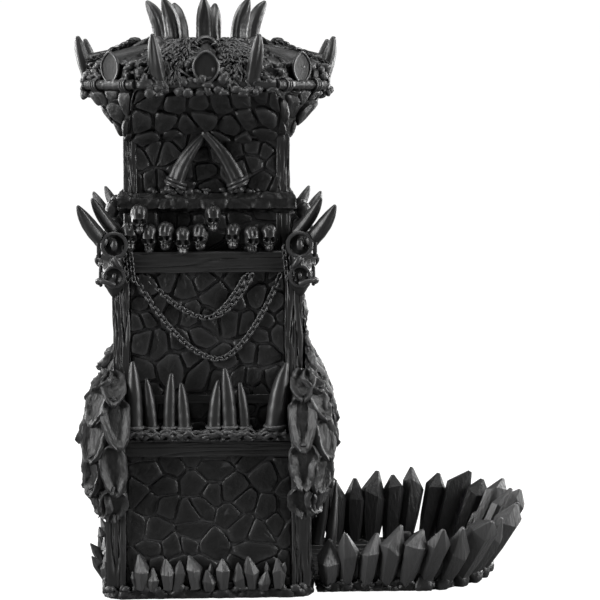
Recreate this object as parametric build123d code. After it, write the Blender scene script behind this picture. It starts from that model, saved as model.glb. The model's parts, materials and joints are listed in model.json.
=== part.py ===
from build123d import *

import os
from math import cos, pi, sin, sqrt

# A fantasy dice tower: three stacked square storeys of stone panels between timber
# posts, crowned by a flared parapet and a low roof with a round mouth for the dice.
# Dice fall on three sloping ramps, leave through the arch in the front wall and
# land in a U-shaped tray fenced with crystals.
#
# Frame: millimetres, +Z up, origin on the table at the centre of the tower's foot,
# +X towards the tray. A piece for one side is drawn on the -Y side and turned about Z.

# Driving dimensions
SHAFT_TURN = 90                 # the tower repeats every quarter turn
RIGHT, FRONT, LEFT, REAR = range(4)
FAR = 80                        # longer than any half width, for cutting

PLINTH_HALF = 43.5
PLINTH_CORNER = 9
PLINTH_TOP = 4

LOWER_HALF = 41.75              # over the corner posts
LOWER_INNER = 33.25             # half width of the shaft
LOWER_FACE = 39                 # outer face of the stone panels
LOWER_TOP = 64.5
LOWER_DECK_TOP = 67.3
LOWER_DECK_HALF = 42.5
LOWER_DECK_HOLE = 30.7

MIDDLE_HALF = 38.25
MIDDLE_INNER = 30.75
MIDDLE_FACE = 35.5
MIDDLE_TOP = 138.4
MIDDLE_DECK_TOP = 140.4
MIDDLE_DECK_HALF = 38.9
MIDDLE_DECK_HOLE = 27.6

UPPER_HALF = 33.4
UPPER_INNER = 27.6
UPPER_FACE = 31.5
FLARE_BOTTOM = 187
FLARE_TOP = 205
CROWN_HALF = 45.5
CROWN_DIAGONAL = 51             # the crown's cut corners lie this far from the axis
PARAPET_TOP = 213
ROOF_RISE = 9.5
ROOF_INNER = 24
ROOF_INNER_DIAGONAL = 24.8
MOUTH_RADIUS = 17
MOUTH_RING_RADIUS = 23
MOUTH_RING_TOP = 224.5

SPIGOT_DEPTH = 8
SPIGOT_SLACK = 0.3              # gap between a spigot and the deck around it
SPIGOT_WALL = 1.8
SPIGOT_GRIP = 6                 # height of the spigot glued inside its own storey

RAMP_THICKNESS = 2
DICE_GAP = 27.5                 # a ramp leaves this much of the shaft open for dice to fall
RAMP_GROOVE = 1                 # depth of the grooves that hold a ramp's long edges

TRAY_START = 43.7               # the tray stops this far from the tower's centre
TRAY_CENTRE = 83.5              # centre of the tray's round end
TRAY_HALF = 36.5
TRAY_RIM = 6
TRAY_RIM_TOP = 4.6
TRAY_FLOOR_TOP = 3.2
TONGUE_HALF = 18
TONGUE_LENGTH = 11
TONGUE_SLACK = 0.3


# Helpers
def block(x0, x1, y0, y1, z0, z1):
    """A box from its lowest to its highest corner."""
    return Pos((x0 + x1) / 2, (y0 + y1) / 2, (z0 + z1) / 2) * Box(x1 - x0, y1 - y0, z1 - z0)


def square_ring(outer, inner, z0, z1):
    """A square frame, given by half widths."""
    return block(-outer, outer, -outer, outer, z0, z1) - block(-inner, inner, -inner, inner, z0, z1)


def frustum(half0, half1, z0, z1):
    """A square block whose half width runs from half0 at z0 to half1 at z1."""
    low = Pos(0, 0, z0) * Rectangle(2 * half0, 2 * half0)
    high = Pos(0, 0, z1) * Rectangle(2 * half1, 2 * half1)
    return loft([low, high], ruled=True)


def cut_square(half, diagonal, z):
    """A square outline with cut corners. Its corner edges lie at the diagonal distance."""
    corner = 2 * half - sqrt(2) * diagonal
    inner = half - corner
    points = [(half, inner), (inner, half), (-inner, half), (-half, inner)]
    points += [(-x, -y) for x, y in points]
    return Pos(0, 0, z) * make_face(Polyline(*points, close=True))


def cut_square_loft(low, high):
    """A block between two cut squares, each given as half width, diagonal distance and height."""
    return loft([cut_square(*low), cut_square(*high)], ruled=True)


def turned(shape, *sides):
    """Copies of a piece drawn on the right side, one for each side."""
    return [Rot(0, 0, SHAFT_TURN * side) * shape for side in sides]


def around(shape):
    return turned(shape, RIGHT, FRONT, LEFT, REAR)


def all_solids(shapes):
    return [solid for shape in shapes for solid in shape.solids()]


def cut(shape, *tools):
    """The solids left of a shape after cutting the tools from it."""
    return all_solids([shape.cut(*all_solids(tools))])


def horn(foot, tip, bow, radius, tip_radius=0.35):
    """A round horn that tapers from foot to tip and bends towards bow."""
    foot, tip = Vector(*foot), Vector(*tip)
    middle = (foot + tip) * 0.5 + Vector(*bow)
    side = (middle - foot).cross(tip - middle)
    sections = []
    for t in (0, 0.25, 0.5, 0.75, 0.92, 1):
        point = foot * (1 - t) ** 2 + middle * (2 * t * (1 - t)) + tip * t**2
        along = (middle - foot) * (1 - t) + (tip - middle) * t
        size = tip_radius + (radius - tip_radius) * (1 - t**1.7)
        sections.append(Plane(origin=point, x_dir=side, z_dir=along) * Circle(size))
    return loft(sections)


def crystal(foot, direction, radius, height, twist=0):
    """A six-sided crystal: narrow foot, wide shoulder and an off-centre point."""
    shoulder = height - 1.7 * radius
    rings = []
    for size, z in ((0.72, 0), (1, shoulder)):
        corners = [
            (radius * size * cos(k * pi / 3), radius * size * sin(k * pi / 3), z) for k in range(6)
        ]
        rings.append(Wire.make_polygon(corners))
    point = Vertex(0.3 * radius, 0.15 * radius, height)
    body = Solid.make_loft([*rings, point], ruled=True)
    return Plane(origin=foot, z_dir=direction).location * (Rot(0, 0, twist) * body)


def ellipsoid(centre, radii):
    return Pos(*centre) * scale(Sphere(1), by=radii)


# Lower storey
def plinth_plate():
    plate = extrude(RectangleRounded(2 * PLINTH_HALF, 2 * PLINTH_HALF, PLINTH_CORNER), PLINTH_TOP)
    slot_half = TONGUE_HALF + TONGUE_SLACK
    slot_start = TRAY_START - TONGUE_LENGTH - TONGUE_SLACK
    slot = block(slot_start, FAR, -slot_half, slot_half, 0, TRAY_FLOOR_TOP)
    return plate - slot


def corner_posts(outer, inner, z0, z1):
    return around(block(inner, outer, -outer, -inner, z0, z1))


def stone_panel(inner, face, z0, z1):
    return block(-inner, inner, -face, -inner, z0, z1)


def exit_opening():
    """The pointed arch through the front wall, drawn on the right side."""
    outline = Polyline(
        (-24, PLINTH_TOP), (-24, 28), (-16, 40), (0, 46), (16, 40), (24, 28), (24, PLINTH_TOP),
        close=True,
    )
    return extrude(Plane.XZ * make_face(outline), FAR / 2, both=True)


def beam(half_length, face, depth, z0, z1):
    """A timber in front of a panel, between two posts."""
    return block(-half_length, half_length, -face - depth, -face, z0, z1)


# Tusks on the ledge of one side: place along the side, radius, height, sideways lean
LEDGE_TUSKS = (
    (-29.3, 2.9, 29, -0.6),
    (-22.6, 2.1, 22, -2.4),
    (-15.6, 2.2, 24, 1.2),
    (-9.6, 2.2, 20, -1.4),
    (2.4, 2.4, 21, 2.0),
    (8.6, 2.6, 26, -2.2),
    (14.6, 2.0, 20, -2.2),
    (26.6, 3.3, 28, 5.0),
)
LEDGE_GUM_TOP = 68.9
LEDGE_GUM_FACE = 45.4
LEDGE_CLEAR = 38.9              # tusks stay outside this, so that the middle storey lifts


def ledge_gum():
    """The rough strip that holds the tusks: it lies on the deck and hangs over its edge."""
    top = block(-31.5, 31.5, -LOWER_DECK_HALF, -LEDGE_CLEAR, LOWER_DECK_TOP, LEDGE_GUM_TOP)
    lip = block(-31.5, 31.5, -LEDGE_GUM_FACE, -LOWER_DECK_HALF, LOWER_TOP + 0.4, LEDGE_GUM_TOP)
    return top + lip


def ledge_tusks():
    tusks = []
    for x, radius, height, lean in LEDGE_TUSKS:
        y = -LEDGE_CLEAR - radius - 0.2
        foot = (x, y, LEDGE_GUM_TOP - 1)
        tusks.append(horn(foot, (x + lean, y - 0.3, foot[2] + height), (-lean * 0.3, -0.4, 0), radius))
    return tusks


SCALE_CENTRE = (37.5, 37.5, 62.5)
SCALE_RADII = (15.6, 15.6, 31.5)
SCALE_SIDE = 33.6               # the cluster leaves the middle of each side clear


def scale_cluster(side):
    """The thick wrap of scales around one lower corner."""
    bulge = ellipsoid(SCALE_CENTRE, SCALE_RADII)
    core = block(-FAR, LOWER_DECK_HALF, -FAR, LOWER_DECK_HALF, 0, LOWER_DECK_TOP)
    above = block(-FAR, LEDGE_CLEAR, -FAR, LEDGE_CLEAR, LOWER_DECK_TOP, 2 * FAR)
    beyond_x = block(-FAR, SCALE_SIDE, -FAR, FAR, 0, 2 * FAR)
    beyond_y = block(-FAR, FAR, -FAR, SCALE_SIDE, 0, 2 * FAR)
    piece = bulge.cut(core, above, beyond_x, beyond_y)
    return Rot(0, 0, SHAFT_TURN * side) * max(piece.solids(), key=lambda solid: solid.volume)


def exit_hood():
    """The scaly canopy above the arch, drawn on the right side. It narrows up the middle storey."""
    inner, deck = LEDGE_CLEAR, LOWER_DECK_HALF
    profile = Polyline(
        (-deck, 56), (-49.5, 56.5), (-52.6, 61), (-53, 69), (-52, 77), (-49.6, 84.5), (-46.8, 90),
        (-43.6, 95.5), (-41.8, 101), (-41.3, 112), (-40.4, 118), (-inner, 120), (-inner, LOWER_DECK_TOP),
        (-deck, LOWER_DECK_TOP), close=True,
    )
    front = Polyline(
        (-31.5, 50), (31.5, 50), (31.5, 84), (22, 104), (8, 120), (-8, 120), (-22, 104), (-31.5, 84),
        close=True,
    )
    canopy = extrude(Plane.YZ * make_face(profile), 31.5, both=True)
    return canopy & extrude(Plane.XZ * make_face(front), FAR, both=True)


def foot_crystals():
    """The row of crystals along the foot of one side."""
    heights = (27, 17, 24, 23, 26, 16, 24, 21, 25, 15, 23)
    leans = (-0.05, 0.1, -0.04, 0.3, -0.06, 0.02, 0.0, -0.22, -0.06, 0.05, -0.03)
    step = 5.6
    row = []
    for k, (height, lean) in enumerate(zip(heights, leans)):
        x = (k - (len(heights) - 1) / 2) * step
        place = (x - 9 * lean, -PLINTH_HALF + 1.9, PLINTH_TOP - 0.8)
        row.append(crystal(place, (lean, -0.04, 1), 2.3, height * 0.55, 30 * k))
    return row


def ramp(x0, z0, x1, z1, half_width):
    """A sloping board across the shaft. Its upper face runs from (x0, z0) to (x1, z1)."""
    outline = Polyline(
        (x0, z0), (x1, z1), (x1, z1 - RAMP_THICKNESS), (x0, z0 - RAMP_THICKNESS), close=True
    )
    return extrude(Plane.XZ * make_face(outline), half_width, both=True)


# Middle storey
SKULL_PLACES = (-30.7, -23, -16.4, -9.6, -2.6, 4, 10.3, 17.6, 24.6)
SKULL_DROPS = (0.4, -0.4, 0.6, -1.4, 0.2, 0.6, 0.4, -0.9, -0.4)
TOP_SKULL_PLACES = (-26.8, 0.7)
SKULL_Y = -38.4
SKULL_Z = 148.2
TOP_SKULL_Z = 155.7


def small_skull():
    """A plain skull 11 mm tall, facing -Y, with its cranium's centre at the origin."""
    cranium = scale(Sphere(1), by=(2.75, 2.8, 3.5))
    jaw = Pos(0, -0.7, -7.4) * extrude(Rectangle(3, 3), 5.9, taper=-4)
    return cranium + jaw


def skull_row(beams_and_deck):
    skull = small_skull()
    row = [Pos(x, SKULL_Y, SKULL_Z + drop) * skull for x, drop in zip(SKULL_PLACES, SKULL_DROPS)]
    row += [Pos(x, SKULL_Y - 0.9, TOP_SKULL_Z) * skull for x in TOP_SKULL_PLACES]
    cleared = []
    for item in all_solids(row):
        left = cut(item, *beams_and_deck, *cleared)
        cleared.append(max(left, key=lambda solid: solid.volume))
    return cleared


BEAST_CENTRE = (38.4, 38.4, 140)
BEAST_RADII = (5.2, 5.2, 10)


def beast_skull(side):
    """A horned animal skull hung on one upper corner of the middle storey."""
    brow = ellipsoid(BEAST_CENTRE, BEAST_RADII)
    x, y, z = BEAST_CENTRE
    snout = Pos(x, y, z - 10) * Cone(3.6, 5.2, 13)
    core = block(-FAR, MIDDLE_DECK_HALF + 0.1, -FAR, MIDDLE_DECK_HALF + 0.1, 0, MIDDLE_DECK_TOP)
    keep_out = block(-FAR, 36.6, -FAR, 36.6, MIDDLE_DECK_TOP, 2 * FAR)
    beyond_x = block(-FAR, 33.4, -FAR, FAR, 0, 2 * FAR)
    beyond_y = block(-FAR, FAR, -FAR, 33.4, 0, 2 * FAR)
    piece = (brow + snout).cut(core, keep_out, beyond_x, beyond_y)
    return Rot(0, 0, SHAFT_TURN * side) * max(piece.solids(), key=lambda solid: solid.volume)


def beast_horns(x_sign, y_sign):
    """The two horns of one corner skull: one stands outside the brow, the other behind it."""
    outer = horn((42.2, 40.6, 144.5), (50.4, 46.8, 159.4), (1.6, 1, -2.4), 2.9)
    inner = horn((37.2, 37.6, 147.5), (45, 43.6, 162), (1.4, 1, -2), 2.4)
    horns = [outer, inner]
    if x_sign < 0:
        horns = [mirror(item, Plane.YZ) for item in horns]
    if y_sign < 0:
        horns = [mirror(item, Plane.XZ) for item in horns]
    return horns


CHAIN_RADIUS = 0.95


def hanging_chain(start, low, end):
    """A chain as a plain rod through its two ends and its lowest point."""
    path = Spline(start, low, end)
    return sweep((path ^ 0) * Circle(CHAIN_RADIUS), path)


def chains():
    y = -MIDDLE_FACE - CHAIN_RADIUS
    upper = hanging_chain((-25, y, 131), (0, y, 113.8), (16.5, y, 131))
    lower = hanging_chain((-29.4, y, 129), (4, y, 97.2), (29.4, y, 129))
    return [upper, *cut(lower, upper)]


# Upper storey and crown
ARCH_FOOT = 13.2
ARCH_TOP = 186
CORNICE_TOP = 164.3


def cornice():
    """The rounded ledge around the upper storey."""
    low = frustum(UPPER_HALF, 36, 155.4, 157.4)
    middle = frustum(36, 36, 157.4, 161.8)
    high = frustum(36, UPPER_HALF + 1, 161.8, CORNICE_TOP)
    hole = block(-UPPER_FACE, UPPER_FACE, -UPPER_FACE, UPPER_FACE, 154, 165)
    return (low + middle + high) - hole


def arch_tusks():
    """The two tusks of a blind window. They lean together and cross at the top."""
    y = -UPPER_FACE - 2.6
    left = horn((-ARCH_FOOT, y, CORNICE_TOP), (-0.4, y + 0.6, ARCH_TOP), (-3.4, 0, 3.4), 2.4, 0.8)
    right = horn((ARCH_FOOT, y, CORNICE_TOP), (-1.6, y - 0.5, ARCH_TOP + 1), (3.4, 0, 3.4), 2.4, 0.8)
    return [left, *cut(right, left)]


FLARE_WALL = 3
PARAPET_WALL = 3.5


def crown_flare():
    """The walls widen from the square storey to the crown, which has cut corners."""
    foot_diagonal = sqrt(2) * UPPER_HALF - 1
    outer = cut_square_loft(
        (UPPER_HALF + 0.2, foot_diagonal, FLARE_BOTTOM), (CROWN_HALF, CROWN_DIAGONAL, FLARE_TOP)
    )
    inner = cut_square_loft(
        (UPPER_FACE, foot_diagonal - FLARE_WALL, FLARE_BOTTOM),
        (CROWN_HALF - FLARE_WALL, CROWN_DIAGONAL - FLARE_WALL, FLARE_TOP),
    )
    return outer - inner


def parapet():
    height = PARAPET_TOP - FLARE_TOP
    outer = cut_square(CROWN_HALF, CROWN_DIAGONAL, FLARE_TOP)
    inner = cut_square(CROWN_HALF - PARAPET_WALL, CROWN_DIAGONAL - PARAPET_WALL, FLARE_TOP)
    return extrude(outer - inner, height)


def roof_block(low):
    """The low hipped block of the roof, from its eaves at the given height."""
    eaves = (CROWN_HALF - 0.5, CROWN_DIAGONAL - 0.5, low)
    return cut_square_loft(eaves, (ROOF_INNER, ROOF_INNER_DIAGONAL, low + ROOF_RISE))


def roof_layer(lift, thickness):
    """A layer of the low roof, open at the mouth."""
    low = PARAPET_TOP + lift
    mouth = Pos(0, 0, low) * Cylinder(MOUTH_RING_RADIUS, 4 * ROOF_RISE)
    return roof_block(low) - roof_block(low - thickness) - mouth


def mouth_ring():
    height = 7.5
    ring = Cylinder(MOUTH_RING_RADIUS, height) - Cylinder(MOUTH_RADIUS, height)
    return Pos(0, 0, MOUTH_RING_TOP - height / 2) * ring


def rafter(reach):
    """A tapered log from the mouth ring to the parapet, drawn towards -Y."""
    inner, outer = Vector(0, -MOUTH_RING_RADIUS, 221.5), Vector(0, -reach, 213)
    along = outer - inner
    near = Plane(origin=inner, z_dir=along) * Circle(2.6)
    far = Plane(origin=outer, x_dir=(1, 0, 0), z_dir=(0, -1, 0)) * Ellipse(5.1, 6.2)
    log = loft([near, far])
    return log - Pos(0, 0, 221) * Cylinder(MOUTH_RING_RADIUS, 30)


def rafters():
    straight, diagonal = rafter(CROWN_HALF + 2), Rot(0, 0, 45) * rafter(CROWN_DIAGONAL + 2)
    return [*around(straight), *around(diagonal)]


POLE_Z = 206.6
POLE_RADIUS = 1.9
TIE_GAP = 0.4                   # the cords stop this far from the crown
RIM_HORN_X = 17.4
RIM_HORN_Y = -CROWN_HALF - 0.4


def rim_horns():
    """The two horns on the rim of one side."""
    horns = []
    for side in (-1, 1):
        foot = (side * RIM_HORN_X, RIM_HORN_Y, 203.5)
        tip = (side * (RIM_HORN_X + 3.2), RIM_HORN_Y - 5.8, 225.5)
        horns.append(horn(foot, tip, (side * 1.2, -2.2, -1.5), 2.9))
    return horns


def pole_on(distance, length):
    """A log that lies along one face of the crown, drawn on the right side."""
    return Pos(0, -distance - POLE_RADIUS, POLE_Z) * (Rot(0, 90, 0) * Cylinder(POLE_RADIUS, length))


def rim_poles():
    """Four long logs on the faces of the crown and four short ones on its cut corners."""
    corner = 2 * CROWN_HALF - sqrt(2) * CROWN_DIAGONAL
    long_pole = pole_on(CROWN_HALF, 2 * (CROWN_HALF - corner) - 1)
    short_pole = Rot(0, 0, 45) * pole_on(CROWN_DIAGONAL, sqrt(2) * corner - 0.5)
    return [*around(long_pole), *around(short_pole)]


def pole_ties():
    """Cords that bind one short log to the crown, open on the side that lies on it."""
    crown = block(-FAR, FAR, -CROWN_DIAGONAL - TIE_GAP, 0, 0, 4 * FAR)
    ties = []
    for x in (-8.5, 8.5):
        ring = Cylinder(POLE_RADIUS + 0.8, 2) - Cylinder(POLE_RADIUS, 2)
        tie = Pos(x, -CROWN_DIAGONAL - POLE_RADIUS, POLE_Z) * (Rot(0, 90, 0) * ring)
        ties.append(Rot(0, 0, 45) * tie.cut(crown))
    return ties


MOUTH_HORN_ANGLES = (0, 43, 81, 124, 180, 225, 268, 315)


def mouth_horns():
    """Eight horns standing around the mouth, not quite evenly."""
    standing = horn((20, 0, MOUTH_RING_TOP - 1), (25.6, 0, 240.3), (-2.6, 0, 2.6), 2.9)
    return [Rot(0, 0, angle) * standing for angle in MOUTH_HORN_ANGLES]


# Tray
def tray_outline(half):
    """The U-shaped outline, straight from the tower and then a half circle."""
    straight = Pos((TRAY_START + TRAY_CENTRE) / 2, 0) * Rectangle(TRAY_CENTRE - TRAY_START, 2 * half)
    return straight + Pos(TRAY_CENTRE, 0) * Circle(half)


def tray_floor():
    floor = Pos(0, 0, 1) * extrude(tray_outline(TRAY_HALF - TRAY_RIM), TRAY_FLOOR_TOP - 1)
    tongue = block(
        TRAY_START - TONGUE_LENGTH, TRAY_START + 1, -TONGUE_HALF, TONGUE_HALF, 1,
        TRAY_FLOOR_TOP - TONGUE_SLACK,
    )
    return floor + tongue


def tray_rim():
    rim = extrude(tray_outline(TRAY_HALF), TRAY_RIM_TOP) - extrude(
        tray_outline(TRAY_HALF - TRAY_RIM), TRAY_RIM_TOP
    )
    mouth = block(TRAY_START - 1, TRAY_START + 0.01, -TRAY_HALF, TRAY_HALF, 0, TRAY_RIM_TOP)
    return rim - mouth


FENCE_STEP = 8
FENCE_COUNT = 23
FENCE_RADIUS = TRAY_HALF - TRAY_RIM / 2


def fence_place(s, radius):
    """Point and outward direction at distance s along the rim from the tray's far end."""
    quarter = pi * radius / 2
    if abs(s) <= quarter:
        a = s / radius
        return TRAY_CENTRE + radius * cos(a), radius * sin(a), cos(a), sin(a)
    side = 1 if s > 0 else -1
    return TRAY_CENTRE - (abs(s) - quarter), side * radius, 0, side


def fence_crystals():
    """The fence: taller on the left side, and leaning further out towards the tray's far end."""
    fence = []
    for k in range(FENCE_COUNT):
        s = (k - (FENCE_COUNT - 1) / 2) * FENCE_STEP
        x, y, out_x, out_y = fence_place(s, FENCE_RADIUS)
        share = (x - TRAY_START) / (TRAY_CENTRE + TRAY_HALF - TRAY_START)
        lean = 0.16 + 0.44 * share**1.5
        left = (out_y + 1) / 2
        forward = (1 - out_x) * (0.22 * share + (0.02 + 0.28 * share) * (1 - left))
        height = 21 + 13 * share + (7.5 - 4 * share) * left + (1.4 if k % 2 else -1.2)
        direction = (out_x * lean + forward, out_y * lean, 1)
        fence.append(crystal((x, y, 1.4), direction, 3.6, height, 17 * k))
    return fence


def gate_tusks():
    """Two tall tusks on the floor, one at each side of the arch."""
    tusks = []
    for side in (-1, 1):
        foot = (TRAY_START + 3.4, side * (TRAY_HALF - TRAY_RIM - 3.6), TRAY_FLOOR_TOP - 1)
        tip = (TRAY_START + 8.6, side * (TRAY_HALF - TRAY_RIM - 6.5), 44)
        tusks.append(horn(foot, tip, (2.6, side * 1.4, 0), 2.2))
    return tusks


def turned_list(pieces, side):
    return [Rot(0, 0, SHAFT_TURN * side) * piece for piece in pieces]


def biggest(pieces):
    return [max(pieces, key=lambda solid: solid.volume)]


def spigot(inner, hole, deck_top):
    """A square sleeve glued inside a storey that reaches down through the deck below."""
    wall = inner - SPIGOT_WALL
    upper = square_ring(inner, wall, deck_top, deck_top + SPIGOT_GRIP)
    lower = square_ring(hole - SPIGOT_SLACK, wall, deck_top - SPIGOT_DEPTH, deck_top)
    return all_solids([upper + lower])


def build():
    """Every piece of the tower as a dict of node name to its solids."""
    nodes = {}

    # Lower storey
    walls = around(stone_panel(LOWER_INNER, LOWER_FACE, PLINTH_TOP, LOWER_TOP))
    opening = Rot(0, 0, SHAFT_TURN * FRONT) * exit_opening().cut(block(-FAR, FAR, 0, FAR, 0, FAR))
    exit_board = ramp(-LOWER_INNER, 46, LOWER_INNER, PLINTH_TOP + 0.8, LOWER_INNER + RAMP_GROOVE)
    exit_board = exit_board.cut(*corner_posts(LOWER_HALF, LOWER_INNER, 0, LOWER_TOP))
    floor_cut = block(-FAR, FAR, -FAR, FAR, -FAR, PLINTH_TOP)
    exit_board = all_solids([exit_board.cut(floor_cut)])
    nodes["exit_ramp"] = exit_board
    nodes["lower_wall_right"] = cut(walls[RIGHT], *exit_board)
    nodes["lower_wall_front"] = cut(walls[FRONT], opening)
    nodes["lower_wall_left"] = cut(walls[LEFT], *exit_board)
    nodes["lower_wall_rear"] = cut(walls[REAR], *exit_board)
    nodes["lower_posts"] = corner_posts(LOWER_HALF, LOWER_INNER, PLINTH_TOP, LOWER_TOP)
    lower_beam = beam(LOWER_INNER, LOWER_FACE, 3.2, 58, LOWER_TOP)
    nodes["lower_beams"] = turned(lower_beam, RIGHT, LEFT, REAR)
    nodes["lower_deck"] = [square_ring(LOWER_DECK_HALF, LOWER_DECK_HOLE, LOWER_TOP, LOWER_DECK_TOP)]
    tusks = ledge_tusks()
    gum = cut(ledge_gum(), *tusks)
    tusk_sides, ledge_sides = (RIGHT, LEFT), (RIGHT, LEFT, REAR)
    gums = [piece for item in gum for piece in turned(item, *tusk_sides)]
    nodes["ledge_gums"] = gums + turned(ledge_gum(), REAR)
    nodes["ledge_tusks"] = [piece for item in tusks for piece in turned(item, *tusk_sides)]
    nodes["scales_front_left"] = [scale_cluster(0)]
    nodes["scales_rear_left"] = [scale_cluster(1)]
    nodes["scales_rear_right"] = [scale_cluster(2)]
    nodes["scales_front_right"] = [scale_cluster(3)]
    nodes["exit_hood"] = turned(exit_hood(), FRONT)
    crystals = foot_crystals()
    placed = [piece for item in crystals for piece in turned(item, *ledge_sides)]
    nodes["foot_crystals"] = placed
    nodes["plinth"] = cut(plinth_plate(), *placed)

    # Middle storey
    walls = around(stone_panel(MIDDLE_INNER, MIDDLE_FACE, LOWER_DECK_TOP, MIDDLE_TOP))
    board = ramp(MIDDLE_INNER, 122, DICE_GAP - MIDDLE_INNER, 100, MIDDLE_INNER + RAMP_GROOVE)
    board = board.cut(*corner_posts(MIDDLE_HALF, MIDDLE_INNER, LOWER_DECK_TOP, MIDDLE_TOP))
    nodes["middle_ramp"] = all_solids([board])
    nodes["middle_wall_right"] = cut(walls[RIGHT], board)
    nodes["middle_wall_front"] = cut(walls[FRONT], board)
    nodes["middle_wall_left"] = cut(walls[LEFT], board)
    nodes["middle_wall_rear"] = cut(walls[REAR], board)
    nodes["middle_posts"] = corner_posts(MIDDLE_HALF, MIDDLE_INNER, LOWER_DECK_TOP, MIDDLE_TOP)
    nodes["middle_sill_beams"] = around(beam(MIDDLE_INNER, MIDDLE_FACE, 2.3, 78.8, 82.8))
    head_beams = around(beam(MIDDLE_INNER, MIDDLE_FACE, 3.2, 132, MIDDLE_TOP))
    nodes["middle_head_beams"] = head_beams
    deck = square_ring(MIDDLE_DECK_HALF, MIDDLE_DECK_HOLE, MIDDLE_TOP, MIDDLE_DECK_TOP)
    nodes["middle_deck"] = [deck]
    nodes["middle_spigot"] = spigot(MIDDLE_INNER, LOWER_DECK_HOLE, LOWER_DECK_TOP)
    row = skull_row([head_beams[RIGHT], deck])
    nodes["skulls_right"] = turned_list(row, RIGHT)
    nodes["skulls_front"] = turned_list(row, FRONT)
    nodes["skulls_left"] = turned_list(row, LEFT)
    nodes["skulls_rear"] = turned_list(row, REAR)
    corners = ((1, 1), (-1, 1), (-1, -1), (1, -1))
    horns = [item for signs in corners for item in beast_horns(*signs)]
    nodes["beast_horns"] = horns
    skulls = nodes["skulls_right"] + nodes["skulls_front"] + nodes["skulls_left"] + nodes["skulls_rear"]
    for k, name in enumerate(("front_left", "rear_left", "rear_right", "front_right")):
        nodes["beast_skull_" + name] = biggest(cut(beast_skull(k), *horns, *skulls))
    nodes["wall_chains"] = [item for chain in chains() for item in around(chain)]

    # Upper storey and crown
    walls = around(stone_panel(UPPER_INNER, UPPER_FACE, MIDDLE_DECK_TOP, FLARE_TOP))
    board = ramp(-UPPER_INNER, 184, UPPER_INNER - DICE_GAP, 166, UPPER_INNER + RAMP_GROOVE)
    board = board.cut(*corner_posts(UPPER_HALF, UPPER_INNER, MIDDLE_DECK_TOP, FLARE_TOP))
    nodes["upper_ramp"] = all_solids([board])
    nodes["upper_walls"] = [solid for wall in walls for solid in cut(wall, board)]
    nodes["upper_posts"] = corner_posts(UPPER_HALF, UPPER_INNER, MIDDLE_DECK_TOP, FLARE_BOTTOM)
    nodes["upper_spigot"] = spigot(UPPER_INNER, MIDDLE_DECK_HOLE, MIDDLE_DECK_TOP)
    nodes["arch_tusks"] = [piece for item in arch_tusks() for piece in turned(item, RIGHT, LEFT)]
    nodes["cornice"] = cut(cornice(), *nodes["upper_posts"], *nodes["arch_tusks"])
    rim = [piece for item in rim_horns() for piece in around(item)]
    nodes["rim_horns"] = rim
    nodes["crown_flare"] = cut(crown_flare(), *nodes["arch_tusks"], *rim)
    logs = rafters()
    nodes["rafters"] = logs
    nodes["parapet"] = cut(parapet(), *logs, *rim)
    nodes["roof_slab"] = cut(roof_layer(0, 3), *logs, *rim)
    nodes["roof_thatch"] = cut(roof_layer(1.4, 1.4), *logs, *rim)
    nodes["mouth_horns"] = mouth_horns()
    nodes["mouth_ring"] = cut(mouth_ring(), *nodes["mouth_horns"])
    nodes["pole_ties"] = [piece for item in pole_ties() for piece in around(item)]
    poles = rim_poles()
    nodes["rim_poles"] = [solid for pole in poles for solid in cut(pole, *rim, *logs)]

    # Tray
    fence = fence_crystals()
    gate = gate_tusks()
    nodes["tray_floor"] = cut(tray_floor(), *gate, *fence)
    nodes["fence_crystals"] = fence
    nodes["gate_tusks"] = gate
    nodes["tray_rim"] = cut(tray_rim(), *fence, *gate)
    return nodes


def main():
    os.makedirs("parts", exist_ok=True)
    for name, solids in build().items():
        export_step(Compound(children=all_solids(solids)), f"parts/{name}.step")


main()
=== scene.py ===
"""The looks of the dice tower: rough stone, split timber, horns, skulls, chains, scales and crystals.

Lengths are in millimetres until a mesh is made. A piece for one side is drawn on the tower's
right side (-Y) and turned about Z. Places come from the CAD nodes' own solids.
"""

import json
import random
from math import atan2, ceil, copysign, cos, exp, hypot, pi, radians, sin, sqrt

import bmesh
import bpy
from mathutils import Matrix, Vector, noise

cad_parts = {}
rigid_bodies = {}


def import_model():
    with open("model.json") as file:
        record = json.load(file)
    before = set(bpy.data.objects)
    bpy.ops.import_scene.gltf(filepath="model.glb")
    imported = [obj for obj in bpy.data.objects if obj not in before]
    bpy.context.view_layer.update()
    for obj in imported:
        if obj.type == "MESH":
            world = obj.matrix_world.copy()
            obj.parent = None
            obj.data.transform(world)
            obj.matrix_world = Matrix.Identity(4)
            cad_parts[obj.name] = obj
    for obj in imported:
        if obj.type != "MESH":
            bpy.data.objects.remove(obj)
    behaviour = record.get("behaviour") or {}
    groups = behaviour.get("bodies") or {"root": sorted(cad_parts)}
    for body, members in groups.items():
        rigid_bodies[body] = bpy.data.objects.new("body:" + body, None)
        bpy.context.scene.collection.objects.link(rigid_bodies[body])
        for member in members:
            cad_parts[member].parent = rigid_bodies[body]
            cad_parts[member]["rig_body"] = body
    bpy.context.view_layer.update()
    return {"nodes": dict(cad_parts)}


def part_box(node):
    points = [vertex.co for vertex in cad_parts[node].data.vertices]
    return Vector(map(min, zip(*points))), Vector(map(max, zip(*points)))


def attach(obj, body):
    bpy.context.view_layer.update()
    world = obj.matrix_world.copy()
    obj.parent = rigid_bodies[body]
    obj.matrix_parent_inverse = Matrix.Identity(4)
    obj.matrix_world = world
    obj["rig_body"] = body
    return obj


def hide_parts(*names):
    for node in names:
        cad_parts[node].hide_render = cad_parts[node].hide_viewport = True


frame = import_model()

MM = 0.001
BASE, MIDDLE, UPPER, TRAY = "tower_base", "middle_storey", "upper_storey", "tray"
SIDES = RIGHT, FRONT, LEFT, REAR = range(4)
SIDE_NAMES = ("right", "front", "left", "rear")
CORNER_NAMES = ("front_left", "rear_left", "rear_right", "front_right")


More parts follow.
